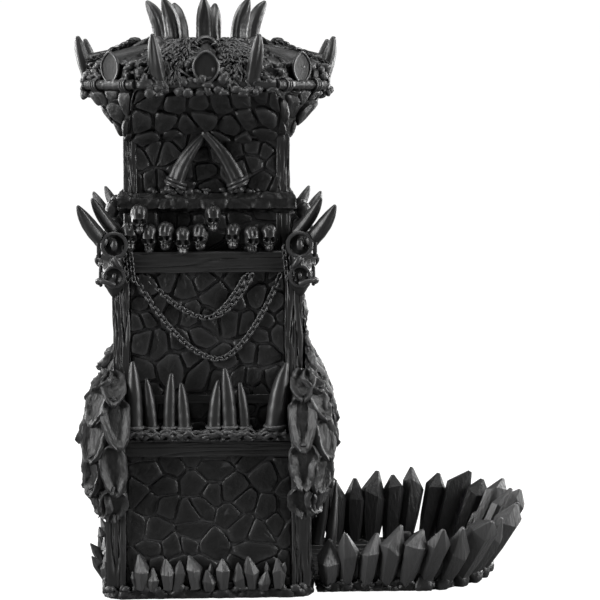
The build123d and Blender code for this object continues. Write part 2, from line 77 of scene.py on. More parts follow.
def vec(*parts):
    return Vector(parts)


def stretched(p, sizes):
    return Vector([a * b for a, b in zip(p, sizes)])


def centre_of(points):
    return sum(points[1:], points[0]) / len(points)


def turn_z(degrees):
    return Matrix.Rotation(radians(degrees), 4, "Z")


UP = vec(0, 0, 1)
TURN = [turn_z(90 * side) for side in SIDES]


# Reading the frame
def extent(node):
    """Lowest and highest corner of a CAD node, in millimetres."""
    low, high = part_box(node)
    return low / MM, high / MM


def solids_of(node):
    """The points of each separate solid of a CAD node, in millimetres."""
    mesh = frame["nodes"][node].data
    places = {}
    ids = [places.setdefault(tuple(round(c, 6) for c in v.co), len(places)) for v in mesh.vertices]
    parent = list(range(len(places)))

    def root(k):
        while parent[k] != k:
            parent[k] = parent[parent[k]]
            k = parent[k]
        return k

    for edge in mesh.edges:
        a, b = (root(ids[v]) for v in edge.vertices)
        parent[a] = b
    groups = {}
    for place, k in places.items():
        groups.setdefault(root(k), []).append(Vector(place) / MM)
    return list(groups.values())


def points_of(node):
    return [p for group in solids_of(node) for p in group]


def turned_back(points, side):
    """Points of one side, moved to where they would be on the right side."""
    back = TURN[side].inverted()
    return [back @ p for p in points]


def box_of(points):
    """Lowest and highest corner."""
    return [Vector([pick(p[k] for p in points) for k in range(3)]) for pick in (min, max)]


def slab_centre(points, foot, axis, start, end):
    """Centre of the points whose distance along the axis lies between start and end."""
    low, high = box_of([p for p in points if start <= (p - foot).dot(axis) <= end] or points)
    return (low + high) / 2


def girth(points, foot, axis):
    """Greatest distance of the points from an axis."""
    return max(((p - foot) - axis * (p - foot).dot(axis)).length for p in points)


def spine_of(points):
    """Foot, middle, tip and the foot's greatest radius of a long upright solid."""
    low, high = box_of(points)
    foot = slab_centre(points, low, UP, 0, 0.12 * (high.z - low.z))
    for _ in range(3):
        tip = max(points, key=lambda p: (p - foot).length)
        axis, length = (tip - foot).normalized(), (tip - foot).length
        foot = slab_centre(points, foot, axis, -length, 0.06 * length)
    middle = slab_centre(points, foot, axis, 0.4 * length, 0.6 * length)
    lower_part = [p for p in points if (p - foot).dot(axis) < 0.25 * length]
    return foot, middle, tip, girth(lower_part, foot, axis)


# Gathering geometry
class Shape:
    """Points in millimetres and faces, gathered before they become one mesh.

    Whatever is added is moved by the matrix first.
    """

    def __init__(self, matrix=Matrix()):
        self.matrix = matrix
        self.points = []
        self.faces = []

    def add(self, points, faces):
        first = len(self.points)
        self.points.extend(self.matrix @ Vector(p) for p in points)
        self.faces.extend(tuple(first + k for k in face) for face in faces)
        return self

    def skin(self, rings, closed=False):
        """Joins rings of equally many points, and caps both ends or joins the last ring to the first."""
        count, total = len(rings[0]), len(rings)
        faces = []
        for r in range(total if closed else total - 1):
            here, there = r * count, (r + 1) % total * count
            for k in range(count):
                j = (k + 1) % count
                faces.append((here + k, here + j, there + j, there + k))
        if not closed:
            faces.append(tuple(reversed(range(count))))
            faces.append(tuple(range((total - 1) * count, total * count)))
        return self.add([p for ring in rings for p in ring], faces)

    def join(self, other, matrix):
        return self.add([matrix @ p for p in other.points], other.faces)


def circle(count):
    """Cosine and sine of angles evenly spaced around a circle."""
    angles = [2 * pi * k / count for k in range(count)]
    return [(cos(a), sin(a)) for a in angles]


def wave(x, y, z):
    """Smooth noise between about -1 and 1."""
    return noise.noise(vec(x, y, z))


def rough(point, scale, seed=0.0):
    """Finer noise between about -1 and 1. The scale is the size of its bumps."""
    return noise.fractal(point / scale + vec(seed, seed * 0.7, -seed), 1.0, 2.2, 3)


def bell(distance, width):
    """1 at no distance, fading to 0 beyond the width."""
    return exp(-((distance / width) ** 2))


def frame_along(axis, side=None):
    """Two unit vectors square to an axis."""
    side = side or (vec(1, 0, 0) if abs(axis.x) < 0.8 else vec(0, 1, 0))
    across = axis.cross(side).normalized()
    return across, axis.cross(across).normalized()


def flat_frame(x, y):
    """Unit vectors along a direction on the floor and to the left of it."""
    out = vec(x, y, 0).normalized()
    return out, vec(-out.y, out.x, 0)


def shares(count):
    """Evenly spaced numbers from 0 to 1."""
    return [k / count for k in range(count + 1)]


def edges_of(ring):
    return zip(ring, ring[1:] + ring[:1])


# Plastic finishes
def feed(tree, node, **inputs):
    """Sets a shader node's inputs to values, or links them to other nodes' outputs."""
    for name, value in inputs.items():
        socket = node.inputs[name.replace("_", " ")]
        if isinstance(value, bpy.types.NodeSocket):
            tree.links.new(value, socket)
        else:
            socket.default_value = value


def shader(tree, kind, output=0, **inputs):
    """Adds a shader node and returns one of its outputs."""
    node = tree.nodes.new("ShaderNode" + kind)
    if kind == "Mix":
        node.data_type = "RGBA"
    feed(tree, node, **inputs)
    return node.outputs[output]


def grey(level):
    return (level, level, level, 1)


def black_plastic(name, tint, edge, roughness, grain, depth, stretch=(1, 1, 1), shine=0.5):
    """Black printed plastic: mottled tint, paler edges as a painted highlight, uneven gloss and a fine
    grain.

    The grain is the size of its bumps in millimetres, and stretch draws it out along an axis.
    """
    material = bpy.data.materials.new(name)
    material.use_nodes = True
    tree = material.node_tree
    place = shader(tree, "TexCoord", "Object")
    scaled = shader(tree, "Mapping", Vector=place, Scale=[1 / (grain * MM * s) for s in stretch])
    fine = shader(tree, "TexNoise", "Fac", Vector=scaled, Scale=1, Detail=5)
    broad = shader(tree, "TexNoise", "Fac", Vector=place, Scale=1 / (9 * MM), Detail=3)
    mottle = shader(tree, "Mix", "Result", Factor=broad, A=grey(0.75 * tint), B=grey(1.3 * tint))
    pointed = shader(tree, "NewGeometry", "Pointiness")
    # Sharp edges get the paler edge grey: a painted highlight where the side lights would catch them.
    worn = shader(tree, "MapRange", Value=pointed, From_Min=0.5, From_Max=0.62)
    edge_highlight = (edge, edge, edge * 1.02, 1)
    feed(
        tree, tree.nodes["Principled BSDF"],
        Base_Color=shader(tree, "Mix", "Result", Factor=worn, A=mottle, B=edge_highlight),
        Roughness=shader(tree, "MapRange", Value=fine, To_Min=roughness - 0.07, To_Max=roughness + 0.09),
        Normal=shader(tree, "Bump", Height=fine, Strength=0.7, Distance=depth * MM),
        Specular_IOR_Level=shine,
    )
    return material


# Tint, painted edge highlight grey, roughness, grain, depth, stretch and shine of each finish
PLASTICS = {
    "stone": (0.005, 0.035, 0.42, 1.3, 0.4, (1, 1, 1), 0.42),
    "timber": (0.0105, 0.04, 0.38, 0.7, 0.14, (1, 1, 4)),
    "horn": (0.009, 0.03, 0.4, 1.4, 0.2, (1, 1, 5)),
    "skull": (0.008, 0.04, 0.36, 0.9, 0.06),
    "chain": (0.009, 0.04, 0.36, 0.6, 0.05),
    # The crystal tint is raised as painted light on the near, lit crystals. The next finish is a darker,
    # less shiny copy of it: painted shade for the far row of the fence.
    "crystal": (0.021, 0.07, 0.42, 1.2, 0.6, (1, 1, 6)),
    "crystal_painted_shade": (0.003, 0.04, 0.4, 1.2, 0.6, (1, 1, 6), 0.16),
    "scale": (0.009, 0.05, 0.47, 1.1, 0.5, (1, 1, 2.5)),
    "thatch": (0.007, 0.03, 0.45, 0.4, 0.08),
}
FINISH = {name: black_plastic(name, *look) for name, look in PLASTICS.items()}
# The material slot name of a finish that has another name
SLOTS = {"crystal_painted_shade": "crystal"}


def add_item(name, data):
    item = bpy.data.objects.new(name, data)
    bpy.context.scene.collection.objects.link(item)
    return item


# Making pieces
def dress(name, mesh, body, finish, sharp, *stands_for):
    """Turns a mesh in metres into a finished piece that rides on a body.

    Edges sharper than sharp degrees stay sharp. The CAD nodes that it stands for are left out.
    """
    work = bmesh.new()
    work.from_mesh(mesh)
    bmesh.ops.recalc_face_normals(work, faces=work.faces)
    work.to_mesh(mesh)
    work.free()
    mesh.polygons.foreach_set("use_smooth", [True] * len(mesh.polygons))
    mesh.set_sharp_from_angle(angle=radians(sharp))
    mesh.materials.clear()
    mesh.materials.append(FINISH[finish])
    item = add_item(name, mesh)
    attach(item, body)
    SLOTS.get(finish, finish)
    if stands_for:
        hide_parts(*stands_for)


def piece(name, shape, body, finish, sharp, *stands_for):
    mesh = bpy.data.meshes.new(name)
    mesh.from_pydata([p * MM for p in shape.points], [], shape.faces)
    dress(name, mesh, body, finish, sharp, *stands_for)


def weathered(node, finish, voxel, depth, size, seed, chips=0.0, floor=None, shrink=0.0):
    """Stands for a CAD node: the same shape, worn rough, with chips broken out of it.

    A floor keeps the points at that height flat, so that the piece still rests on it.
    """
    source = frame["nodes"][node]
    rough_item = add_item("rough", source.data.copy())
    remesh = rough_item.modifiers.new("remesh", "REMESH")
    remesh.mode = "VOXEL"
    remesh.voxel_size = voxel * MM
    graph = bpy.context.evaluated_depsgraph_get()
    mesh = bpy.data.meshes.new_from_object(rough_item.evaluated_get(graph))
    bpy.data.objects.remove(rough_item)
    for vertex, normal in zip(mesh.vertices, [v.normal.copy() for v in mesh.vertices]):
        point = vertex.co / MM
        near, far = noise.voronoi(point / (2.2 * size))[0][:2]
        shift = depth * (rough(point, size, seed) - 0.35) - shrink
        shift -= depth * 1.2 * max(0.0, 0.22 - (far - near)) / 0.22
        shift -= chips * max(0.0, rough(point, 2 * size, seed + 5) - 0.25)
        moved = point + normal * shift
        if floor is not None and point.z < floor + voxel:
            moved.z = max(floor, point.z)
        vertex.co = moved * MM
    dress(node + "_worn", mesh, source["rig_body"], finish, 60, node)


# Stones
def clip(polygon, normal, limit):
    """The part of a convex polygon where a point's product with the normal is at most the limit."""
    kept = []
    for a, b in edges_of(polygon):
        over_a, over_b = a.dot(normal) - limit, b.dot(normal) - limit
        if over_a <= 0:
            kept.append(a)
        if (over_a < 0) != (over_b < 0):
            kept.append(a.lerp(b, over_a / (over_a - over_b)))
    return kept


def cell_area(cell):
    return abs(sum(a.x * b.y - b.x * a.y for a, b in edges_of(cell))) / 2


def stone_cells(width, height, size, rng, gap, missing):
    """Outlines of the stones that fill a rectangle. It is centred in width and starts at height 0."""
    rows, columns = ceil(height / size) + 2, ceil(width / size) + 2
    sites = []
    for row in range(-1, rows):
        for column in range(-1, columns):
            if rng.random() < missing:
                continue
            across = (column + rng.uniform(-0.36, 0.36) + 0.5 * (row % 2)) * size - width / 2
            sites.append(vec(across, (row + rng.uniform(-0.36, 0.36)) * size))
    half = width / 2
    sheet = [Vector(p) for p in ((-half, 0), (half, 0), (half, height), (-half, height))]
    cells = []
    for site in sites:
        cell = sheet
        for other in sites:
            reach = other - site
            if other is site or reach.length > 5 * size or len(cell) < 3:
                continue
            normal = reach.normalized()
            cell = clip(cell, normal, (site + other).dot(normal) / 2 - gap / 2)
        if len(cell) >= 3 and cell_area(cell) > 0.06 * size * size:
            cells.append(cell)
    return cells


def rounded(cell, passes, share):
    """Cuts the corners of an outline again and again, until it is round enough."""
    for _ in range(passes):
        cell = [p for a, b in edges_of(cell) for p in (a.lerp(b, share), a.lerp(b, 1 - share))]
    return cell


# Pairs of how far in from the outline a ring lies, and how high it is
STONE_EDGE = ((-0.1, -0.5), (0.0, 0.3), (0.25, 0.72), (0.65, 0.95))
STONE_TOP = ((0.32, 1.0), (0.55, 1.0), (0.8, 1.0))


def add_stone(shape, cell, place, rise, dome, rng, soft=0.2, chip=0.1):
    """One stone. Its outline lies on the surface, and it rises by rise and a dome above that."""
    centre = centre_of(cell)
    reach = max((p - centre).length for p in cell)
    tilt = vec(rng.uniform(-0.09, 0.09), rng.uniform(-0.09, 0.09))
    seed = rng.uniform(0, 50)
    outline = rounded(cell, 2, soft)
    rings = []
    for inset, lift in [(min(0.28, inset / reach), lift) for inset, lift in STONE_EDGE] + [*STONE_TOP]:
        ring = []
        for p in outline:
            q = p.lerp(centre, inset + chip * (wave(p.x / 2, p.y / 2, seed / 2) + 0.25))
            bulge = dome * reach * (1 - ((q - centre).length / reach) ** 2)
            height = rise * lift + (bulge + tilt.dot(q - centre)) * max(lift, 0)
            height += 0.35 * max(lift, 0) * rough(vec(q.x, q.y, seed), 3.2)
            ring.append(place(q.x, q.y, height))
        rings.append(ring)
    shape.skin(rings)


def facet(reach0, z0, wide0, reach1, z1, wide1):
    """Places a point on one flat face that may lean in or out: across, up the slope, out.

    The face runs from one distance, height and width at its foot to those at its top. Its
    length and width come along with the placing.
    """
    length = hypot(reach1 - reach0, z1 - z0)
    out = vec(0, -(z1 - z0), reach0 - reach1) / length
    widest = max(wide0, wide1)

    def place(u, v, h):
        share = v / length
        wide = (wide0 + (wide1 - wide0) * share) / widest
        return vec(u * wide, -(reach0 + (reach1 - reach0) * share), z0 + (z1 - z0) * share) + out * h

    return place, length, widest


def shifted(place, across=0.0, along=0.0, out=0.0):
    """The same way of placing points, moved on its face."""
    return lambda u, v, h: place(u + across, v + along, h + out)


def stone_face(shape, face, size, rng, gap, rise, dome, skip=None, missing=0.3, soft=0.14):
    """All the stones on one face, apart from those to skip."""
    place, length, width = face
    for cell in stone_cells(width, length, size, rng, gap, missing):
        if not (skip and skip(cell)):
            add_stone(shape, cell, place, rise * rng.uniform(0.4, 1.4), dome, rng, soft)


# Timber
def squared_ring(width, depth, per_side, corner):
    """Points around a rectangle with rounded corners."""
    half = vec(width, depth) / 2
    inner = half - vec(corner, corner)
    corners = [stretched(sign, half) for sign in ((-1, -1), (1, -1), (1, 1), (-1, 1))]
    ring = []
    for start, end in edges_of(corners):
        for step in range(per_side):
            p = start.lerp(end, step / per_side)
            q = vec(max(-inner.x, min(inner.x, p.x)), max(-inner.y, min(inner.y, p.y)))
            edge = p - q
            ring.append(q + edge.normalized() * corner if edge.length > corner else p)
    return ring


def crease(x, y, z, width):
    """1 along winding lines of the noise, fading to 0 beside them."""
    return max(0.0, 1 - abs(wave(x, y, z)) / width)


def timber(shape, start, end, side, width, depth, seed, split):
    """A squared log with deep grain. Its width lies across the side direction, its depth along it."""
    length = (end - start).length
    along = (end - start) / length
    across = along.cross(side).normalized()
    side = across.cross(along).normalized()
    ring = squared_ring(width, depth, 20, 0.6)
    steps = max(6, round(length / 1.8))
    rings = []
    for step in range(steps + 1):
        t = length * step / steps
        placed = []
        for k, p in enumerate(ring):
            s = (width + depth) * 2 * k / len(ring)
            coarse = wave(s * 0.3, t * 0.045, seed + 7)
            groove = crease(s * 0.8, t * 0.03, seed, 0.12)
            crack = crease(s * 0.28, t * 0.02, seed + 19, 0.07)
            bend = wave(t * 0.09, s * 0.08, seed + 31)
            inward = split * (0.3 + 0.55 * groove + 0.45 * coarse + 1.1 * crack) + 0.25 * bend
            inward = max(0.0, inward) + (0.45 if step in (0, steps) else 0)
            p = p * (1 - inward / max(2.0, p.length))
            placed.append(start + along * t + across * p.x + side * p.y)
        rings.append(placed)
    shape.skin(rings)


# Horns and tusks
def tusk(shape, foot, middle, tip, radius, sides=28, steps=26, taper=2.0, point=0.3, groove=0.0, seam=0.4):
    """A tusk through three points, with a flat foot and a growth ring.

    A groove runs along the side that faces away from the tower's axis, and two more beside it.
    """
    control = middle * 2 - (foot + tip) / 2
    axis = (control - foot).normalized()
    outward = vec(foot.x, foot.y, 0.001 * foot.z + 0.001)
    across = (outward - axis * outward.dot(axis)).normalized()
    rings = []
    for share in shares(steps):
        t = 1 - (1 - share) ** 1.15
        place = foot * (1 - t) ** 2 + control * (2 * t * (1 - t)) + tip * t * t
        axis = ((control - foot) * (1 - t) + (tip - control) * t).normalized()
        across = (across - axis * across.dot(axis)).normalized()
        beside = axis.cross(across)
        size = point + (radius - point) * (1 - t**taper)
        size += radius * (0.02 * sin(26 * t) * (1 - t) - 0.05 * bell(t - seam, 0.012))
        ring = []
        for k in range(sides):
            angle = 2 * pi * k / sides
            turned = (angle + pi + 0.15 * sin(4 * t)) % (2 * pi) - pi
            cut = bell(turned, 0.3) + 0.6 * bell(abs(turned) - 2.0, 0.25)
            wobble = 1 - groove * cut * (1 - t**5) + 0.2 * groove * cos(7 * angle + 2 * t)
            ring.append(place + (across * cos(angle) + beside * sin(angle)) * size * wobble)
        rings.append(ring)
    end = rings[-1]
    centre = centre_of(end)
    axis = (tip - control).normalized()
    for share, up in ((0.75, 0.35), (0.35, 0.55)):
        rings.append([centre.lerp(p, share) + axis * point * up for p in end])
    shape.skin(rings)


# Crystals
def crystal(shape, foot, tip, radius, rng, foot_share=0.62, point_share=0.14, cap=1.9):
    """A six-sided crystal with a narrow foot, a wide shoulder, and facets that meet off centre."""
    axis, length = (tip - foot).normalized(), (tip - foot).length
    across, beside = frame_along(axis)
    turn = rng.uniform(0, pi)
    widths = [rng.uniform(0.82, 1.12) for _ in range(6)]
    offs = [rng.uniform(-0.35, 0.45) * radius for _ in range(6)]
    lean = (across * rng.uniform(-0.5, 0.5) + beside * rng.uniform(-0.5, 0.5)) * radius
    shoulder = max(0.4 * length, length - cap * radius)
    plan = (0, foot_share, 0, 0), (0.5 * shoulder, 0.84, 0.2, 0), (shoulder, 1, 1, 0)
    plan += ((length, point_share, 0.12, 1),)
    rings = []
    for height, share, uneven, shift in plan:
        ring = []
        for k in range(6):
            angle = turn + pi * k / 3
            out = (across * cos(angle) + beside * sin(angle)) * radius * share * widths[k]
            ring.append(foot + axis * (height + uneven * offs[k]) + out + lean * shift)
        rings.append(ring)
    shape.skin(rings)


def contents(work):
    """The points and faces of a bmesh, which is then freed."""
    work.verts.index_update()
    result = [v.co.copy() for v in work.verts], [[v.index for v in f.verts] for f in work.faces]
    work.free()
    return result


def bevelled(shape, width, angle=12):
    """The shape with its sharp edges broken."""
    work = bmesh.new()
    points = [work.verts.new(p) for p in shape.points]
    for face in shape.faces:
        work.faces.new([points[k] for k in face])
    bmesh.ops.recalc_face_normals(work, faces=work.faces)
    edges = [e for e in work.edges if len(e.link_faces) == 2 and e.calc_face_angle() > radians(angle)]
    options = dict(segments=2, profile=0.6, affect="EDGES", clamp_overlap=True)
    bmesh.ops.bevel(work, geom=edges, offset=width, **options)
    return Shape().add(*contents(work))


# Rocks
def ball(level):
    work = bmesh.new()
    bmesh.ops.create_icosphere(work, subdivisions=level, radius=1)
    return contents(work)


BALL, SMALL_BALL = ball(3), ball(2)


def rock(shape, centre, radii, rng, template=SMALL_BALL):
    """A lump of rock with a few flat sides."""
    seed = rng.uniform(0, 90)
    cuts = [Vector([rng.gauss(0, 1) for _ in range(3)]).normalized() for _ in range(5)]
    spin = Matrix.Rotation(rng.uniform(0, 6.28), 3, "Z")
    points = []
    for p in template[0]:
        q = p * (1 + 0.28 * noise.noise(p * 1.6 + vec(seed, 0, 0)))
        for cut in cuts:
            q -= cut * max(0.0, q.dot(cut) - 0.78)
        points.append(centre + stretched(spin @ q, radii))
    shape.add(points, template[1])


def about(middle, spread):
    return (middle - spread, middle + spread)


def scatter(shape, rng, count, where, sizes):
    """Rocks at random. Each part of a place or size is a pair of limits, or one fixed number."""

    def draw(spans):
        return Vector([rng.uniform(*span) if isinstance(span, tuple) else span for span in spans])

    for _ in range(count):
        rock(shape, draw(where), draw(sizes), rng)


# Leaf-shaped scales
LEAF_STEPS = 22
LEAF_COLUMNS = (0.14, 0.38, 0.54, 0.64, 0.72, 0.8, 0.88, 0.95, 1.0, 1.05)


def leaf(shape, place, width, length, rng, lift, border):
    """A scale with a ragged raised border and a hollow middle. Its rounded end stands off."""
    skew = rng.uniform(-0.12, 0.12)
    seed = rng.uniform(0, 90)
    rings = []
    for t in shares(LEAF_STEPS):
        v = 0.5 * t + 0.5 * (t * t * (3 - 2 * t))
        half = width / 2 * (1 - max(0.0, 1 - v / 0.3) ** 2.2) ** 0.5 * (1 - v**3.4) ** 0.75 + 0.1
        rise = lift * (v**1.3 - 0.1)
        top, bottom = [], []
        for s in [-c for c in reversed(LEAF_COLUMNS)] + [*LEAF_COLUMNS]:
            inset = min((1 - min(1.0, abs(s))) * half, 0.75 * (1 - v) * length, v * length + 0.3)
            height = border * (1 + 0.6 * wave(3.1 * s, 5 * v, seed)) * bell(inset - 1.2, 1.0)
            height -= 1.2 * min(1.0, max(0.0, (inset - 1.8) / 1.6))
            height += 0.5 * wave(s * 3.4 + seed, v * 6, 1) + 0.45 * wave(s * 9 + seed, v * 17, 4)
            u = s * half * (1 + 0.16 * wave(seed, v * 5, s)) + skew * length * v * v
            top.append(place(u, v * length, rise + (height if abs(s) <= 1 else -1.6)))
            bottom.append(place(u, v * length, rise - 1.6))
        rings.append(top + bottom[::-1])
    shape.skin(rings)


# Chains
def link_ring(shape, centre, along, normal, length, width, wire):
    """One oval link that lies square to the normal."""
    beside = along.cross(normal).normalized()
    rings = []
    for c, s in circle(14):
        spot = centre + along * c * (length - wire) / 2 + beside * s * (width - wire) / 2
        out = (along * c / length + beside * s / width).normalized()
        rings.append([spot + (out * x + normal * y) * wire / 2 for x, y in circle(6)])
    shape.skin(rings, closed=True)


def chain(shape, path, normal, length=3.6, width=2.9, wire=1.0):
    """Links along a line of points, every second one turned by a quarter."""
    travelled, k, index = 0.0, 0, 0
    while index < len(path) - 1:
        span = path[index + 1] - path[index]
        if travelled > span.length:
            travelled -= span.length
            index += 1
            continue
        along = span.normalized()
        flat = (normal - along * normal.dot(along)).normalized()
        tilt = Matrix.Rotation(radians(38 if k % 2 else -38), 3, along)
        link_ring(shape, path[index] + along * travelled, along, tilt @ flat, length, width, wire)
        travelled += length - 1.75 * wire
        k += 1


def hanging(start, low, end, count=40):
    """Points of a line that hangs between two ends and has its lowest point at low."""
    path = []
    for t in shares(count):
        x = start.x + (end.x - start.x) * t
        top = start if x < low.x else end
        share = abs((x - low.x) / (top.x - low.x))
        path.append(vec(x, low.y + (top.y - low.y) * share, low.z + (top.z - low.z) * share**1.75))
    return path


def cord(shape, centre, axis, radius, thickness):
    """A ring of cord around a pole."""
    across, beside = frame_along(axis)
    rings = []
    for k, (c, s) in enumerate(circle(20)):
        out = across * c + beside * s
        swell = thickness * (1 + 0.12 * cos(0.9 * pi * k))
        rings.append([centre + out * radius + (out * x + axis * y) * swell for x, y in circle(6)])
    shape.skin(rings, closed=True)


# Skulls
def carved(points, features):
    """Presses pits with raised rims into a shape that stands around the z axis."""
    result = []
    for p in points:
        q = p.copy()
        for centre, radius, depth, rim in features:
            distance = (p - centre).length / radius
            inward = vec(-p.x, 0.4 * radius - p.y, 0).normalized()
            pressed = depth * (1 - distance**2) ** 0.6 if distance < 1 else 0
            q += inward * (pressed - rim * bell(distance - 1.12, 0.16))
        result.append(q)
    return result


def turned_profile(profile, steps, around):
    """Rings around the z axis, smoothed between rows of height, half width, reach to front and back."""
    rows = []
    last = len(profile) - 1
    for k in range(last):
        a, b = Vector(profile[max(0, k - 1)]), Vector(profile[k])
        c, d = Vector(profile[k + 1]), Vector(profile[min(last, k + 2)])
        for t in [j / steps for j in range(steps)]:
            curve = (a * 2 - b * 5 + c * 4 - d) * t * t + (b * 3 - a - c * 3 + d) * t**3
            rows.append((b * 2 + (c - a) * t + curve) / 2)
    rings = []
    for row in rows + [Vector(profile[-1])]:
        half, front, back = (max(0.02, size) for size in row[1:])
        rings.append([
            vec(half * copysign(abs(s) ** 0.85, s), -c * (front if c > 0 else back), row[0])
            for c, s in circle(around)
        ])
    return rings


def small_skull(rng):
    """A small bare skull that faces -Y: a tall grooved dome over low eyes and a narrow jaw."""
    profile = (
        (3.7, 0.05, 0.05, 0.05), (3.4, 1.2, 1.2, 1.3), (2.4, 2.15, 2.1, 2.3), (0.9, 2.6, 2.7, 2.8),
        (-0.5, 2.6, 2.9, 2.7), (-1.5, 2.4, 2.8, 2.2), (-2.5, 2.3, 2.5, 1.6), (-3.3, 1.9, 2.4, 1.0),
        (-4.0, 1.55, 2.6, 0.8), (-4.9, 1.5, 2.65, 0.7), (-5.6, 1.3, 2.45, 0.6), (-6.1, 0.7, 2.1, 0.3),
    )
    features = [(vec(0, -2.8, -3.0), 0.62, 1.0, 0.0)]
    for side in (-1, 1):
        features += [
            (vec(side * 1.15, -2.5, -1.9), 0.98, 1.7, 0.16),
            (vec(side * 2.1, -1.4, -3.9), 1.2, 0.7, 0.05),
            (vec(side * 2.6, -1.3, -0.3), 1.5, 0.4, 0.0),
        ]
    worn = []
    for ring in turned_profile(profile, 3, 34):
        ring = carved(ring, features)
        for p in ring:
            if -5.3 < p.z < -3.7 and p.y < -1:
                gap = max(0.0, cos(2 * pi * p.x / 0.72)) ** 3
                p.y += 0.35 * gap + 0.3 * bell(p.z + 4.5, 0.16)
            if p.z > -0.9 and p.y < 0.5:
                p.y += 0.5 * bell(p.x, 0.36) * min(1.0, p.z + 0.9)
        worn.append([p * (1 + 0.02 * rng.uniform(-1, 1)) for p in ring])
    return Shape().skin(worn)


def beast_skull():
    """A broad animal skull that faces -Y. Its flanks have a ringed eye, a cheek and a ringed hole."""
    profile = (
        (8.0, 0.1, 0.1, 0.1), (7.4, 2.6, 2.4, 2.4), (5.4, 4.8, 4.6, 4.6), (2.8, 5.9, 5.7, 5.2),
        (0.0, 5.8, 5.7, 5.0), (-2.5, 5.1, 5.2, 4.2), (-4.5, 4.7, 5.0, 3.8), (-7.0, 4.9, 5.0, 3.7),
        (-10.0, 4.7, 4.8, 3.4), (-12.5, 4.0, 4.3, 2.7), (-15.0, 2.9, 3.4, 2.1), (-17.4, 1.3, 2.0, 1.0),
        (-18.4, 0.4, 0.6, 0.4),
    )
    features = [(vec(0, -5.6, -8.0), 1.7, 1.6, 0.4)]
    for side in (-1, 1):
        features += [
            (vec(side * 4.2, -4.1, 3.2), 4.9, 3.4, 0.5),
            (vec(side * 3.7, -3.9, -9.4), 3.9, 3.0, 0.5),
            (vec(side * 4.6, -3.2, -3.6), 2.7, -1.8, 0.0),
        ]
    shape = Shape().skin([carved(ring, features) for ring in turned_profile(profile, 4, 56)])
    for side in (-1, 1):
        out, beside = flat_frame(side, -1)
        beside *= side
        eye = vec(side * 4.2, -4.1, 3.2)
        hole = vec(side * 3.7, -3.8, -9.4)
        for spot, ring, wire, depth, pupil in (
            (eye, 4.8, 0.75, 0.9, (1.5, 1.5, 2.7)), (hole, 4.0, 0.65, 0.6, (0.8, 0.8, 1.7))
        ):
            cord(shape, spot + out * 0.4, out, ring, wire)
            shape.add([spot - out * depth + stretched(p, pupil) for p in SMALL_BALL[0]], SMALL_BALL[1])
        cheek = eye - UP * 5, hole + UP * 3.4 + beside * 3
        jaw = hole - UP * 3, hole - UP * 1 - beside * 6.5
        for start, end in (cheek, jaw):
            middle = (start + end) / 2 + out * 1.5
            tusk(shape, start + out * 0.7, middle, end + out * 0.3, 1.1, 8, 10, 4, 0.7)
    return shape


# Straw
def strand(shape, root, heading, normal, length, radius, rng):
    """A tapered, bent straw of four-sided section."""
    side = heading.cross(normal).normalized()
    sway = rng.uniform(-0.5, 0.5)
    rings = []
    for t in shares(4):
        arch = sin(pi * min(1, t * 0.9)) * 0.22 * length
        spot = root + heading * length * t + normal * arch + side * sway * length * t * t * 0.5
        wide, tall = [v * radius * (1 - 0.75 * t**1.5) for v in (side, normal * 0.7)]
        rings.append([spot + wide, spot + tall, spot - wide, spot - tall])
    shape.skin(rings)


def thatch(shape, place, width, length, count, rng):
    """Straws that lie down a slope in a loose mat. The place is given across, up the slope, out."""
    for _ in range(count):
        u, v = rng.uniform(-width / 2, width / 2), rng.uniform(0, length)
        root = place(u, v, rng.uniform(0.2, 1.6))
        down = (place(u, v - 1, 0) - place(u, v, 0)).normalized()
        normal = (place(u, v, 1) - place(u, v, 0)).normalized()
        across = down.cross(normal)
        heading = (down + across * rng.uniform(-0.9, 0.9) + normal * rng.uniform(-0.05, 0.35)).normalized()
        strand(shape, root, heading, normal, rng.uniform(3.2, 6.0), rng.uniform(0.28, 0.5), rng)


# Sizes that every storey takes from the frame
LOWER_LOW, LOWER_HIGH = extent("lower_wall_right")
MIDDLE_LOW, MIDDLE_HIGH = extent("middle_wall_right")
UPPER_POSTS = extent("upper_posts")[1]
UPPER_FACE = -extent("upper_walls")[0].y
DECK_TOP = extent("lower_deck")[1].z
CORE = extent("lower_deck")[1].x
MIDDLE_DECK_TOP = extent("middle_deck")[1].z
FOOTPRINT = extent("middle_deck")[1].x + 0.5
FLARE_LOW, FLARE_HIGH = extent("crown_flare")
PARAPET_HIGH = extent("parapet")[1]
RING_HIGH = extent("mouth_ring")[1]
TRAY_LOW, TRAY_HIGH = extent("tray_rim")
TRAY_HUB = vec(TRAY_HIGH.x - TRAY_HIGH.y, 0, 0)

ARCH_OUTLINE = ((-24, 4), (-24, 28), (-16, 40), (0, 46), (16, 40), (24, 28), (24, 4))
ARCH = [vec(x, z - LOWER_LOW.z) for x, z in ARCH_OUTLINE]
ARCH_HUB = vec(0, 22 - LOWER_LOW.z)


# Walls and timbers
def over_arch(cell):
    """Whether a stone would cover part of the exit arch."""
    for a, b in zip(ARCH[1:-2], ARCH[2:-1]):
        for p in cell:
            if a.x <= p.x <= b.x and p.y < a.y + (b.y - a.y) * (p.x - a.x) / (b.x - a.x) + 1.5:
                return True
    return False


def arch_blocks(shape, place, rng):
    """The stones that frame the exit arch."""
    line = []
    for a, b in zip(ARCH, ARCH[1:]):
        parts = max(2, round((b - a).length / 6))
        line += [a.lerp(b, k / parts) for k in range(parts)]
    line.append(ARCH[-1])
    for a, b in zip(line, line[1:]):
        out_a, out_b = (a - ARCH_HUB).normalized(), (b - ARCH_HUB).normalized()
        depth = rng.uniform(4.2, 5.6)
        quad = [a + out_a * 0.3, a + out_a * depth, b + out_b * depth, b + out_b * 0.3]
        centre = centre_of(quad)
        if centre.y < LOWER_HIGH.z - LOWER_LOW.z - 1 and abs(centre.x) < LOWER_HIGH.x - 0.5:
            add_stone(shape, [p.lerp(centre, 0.06) for p in quad], place, 1.9, 0.05, rng)


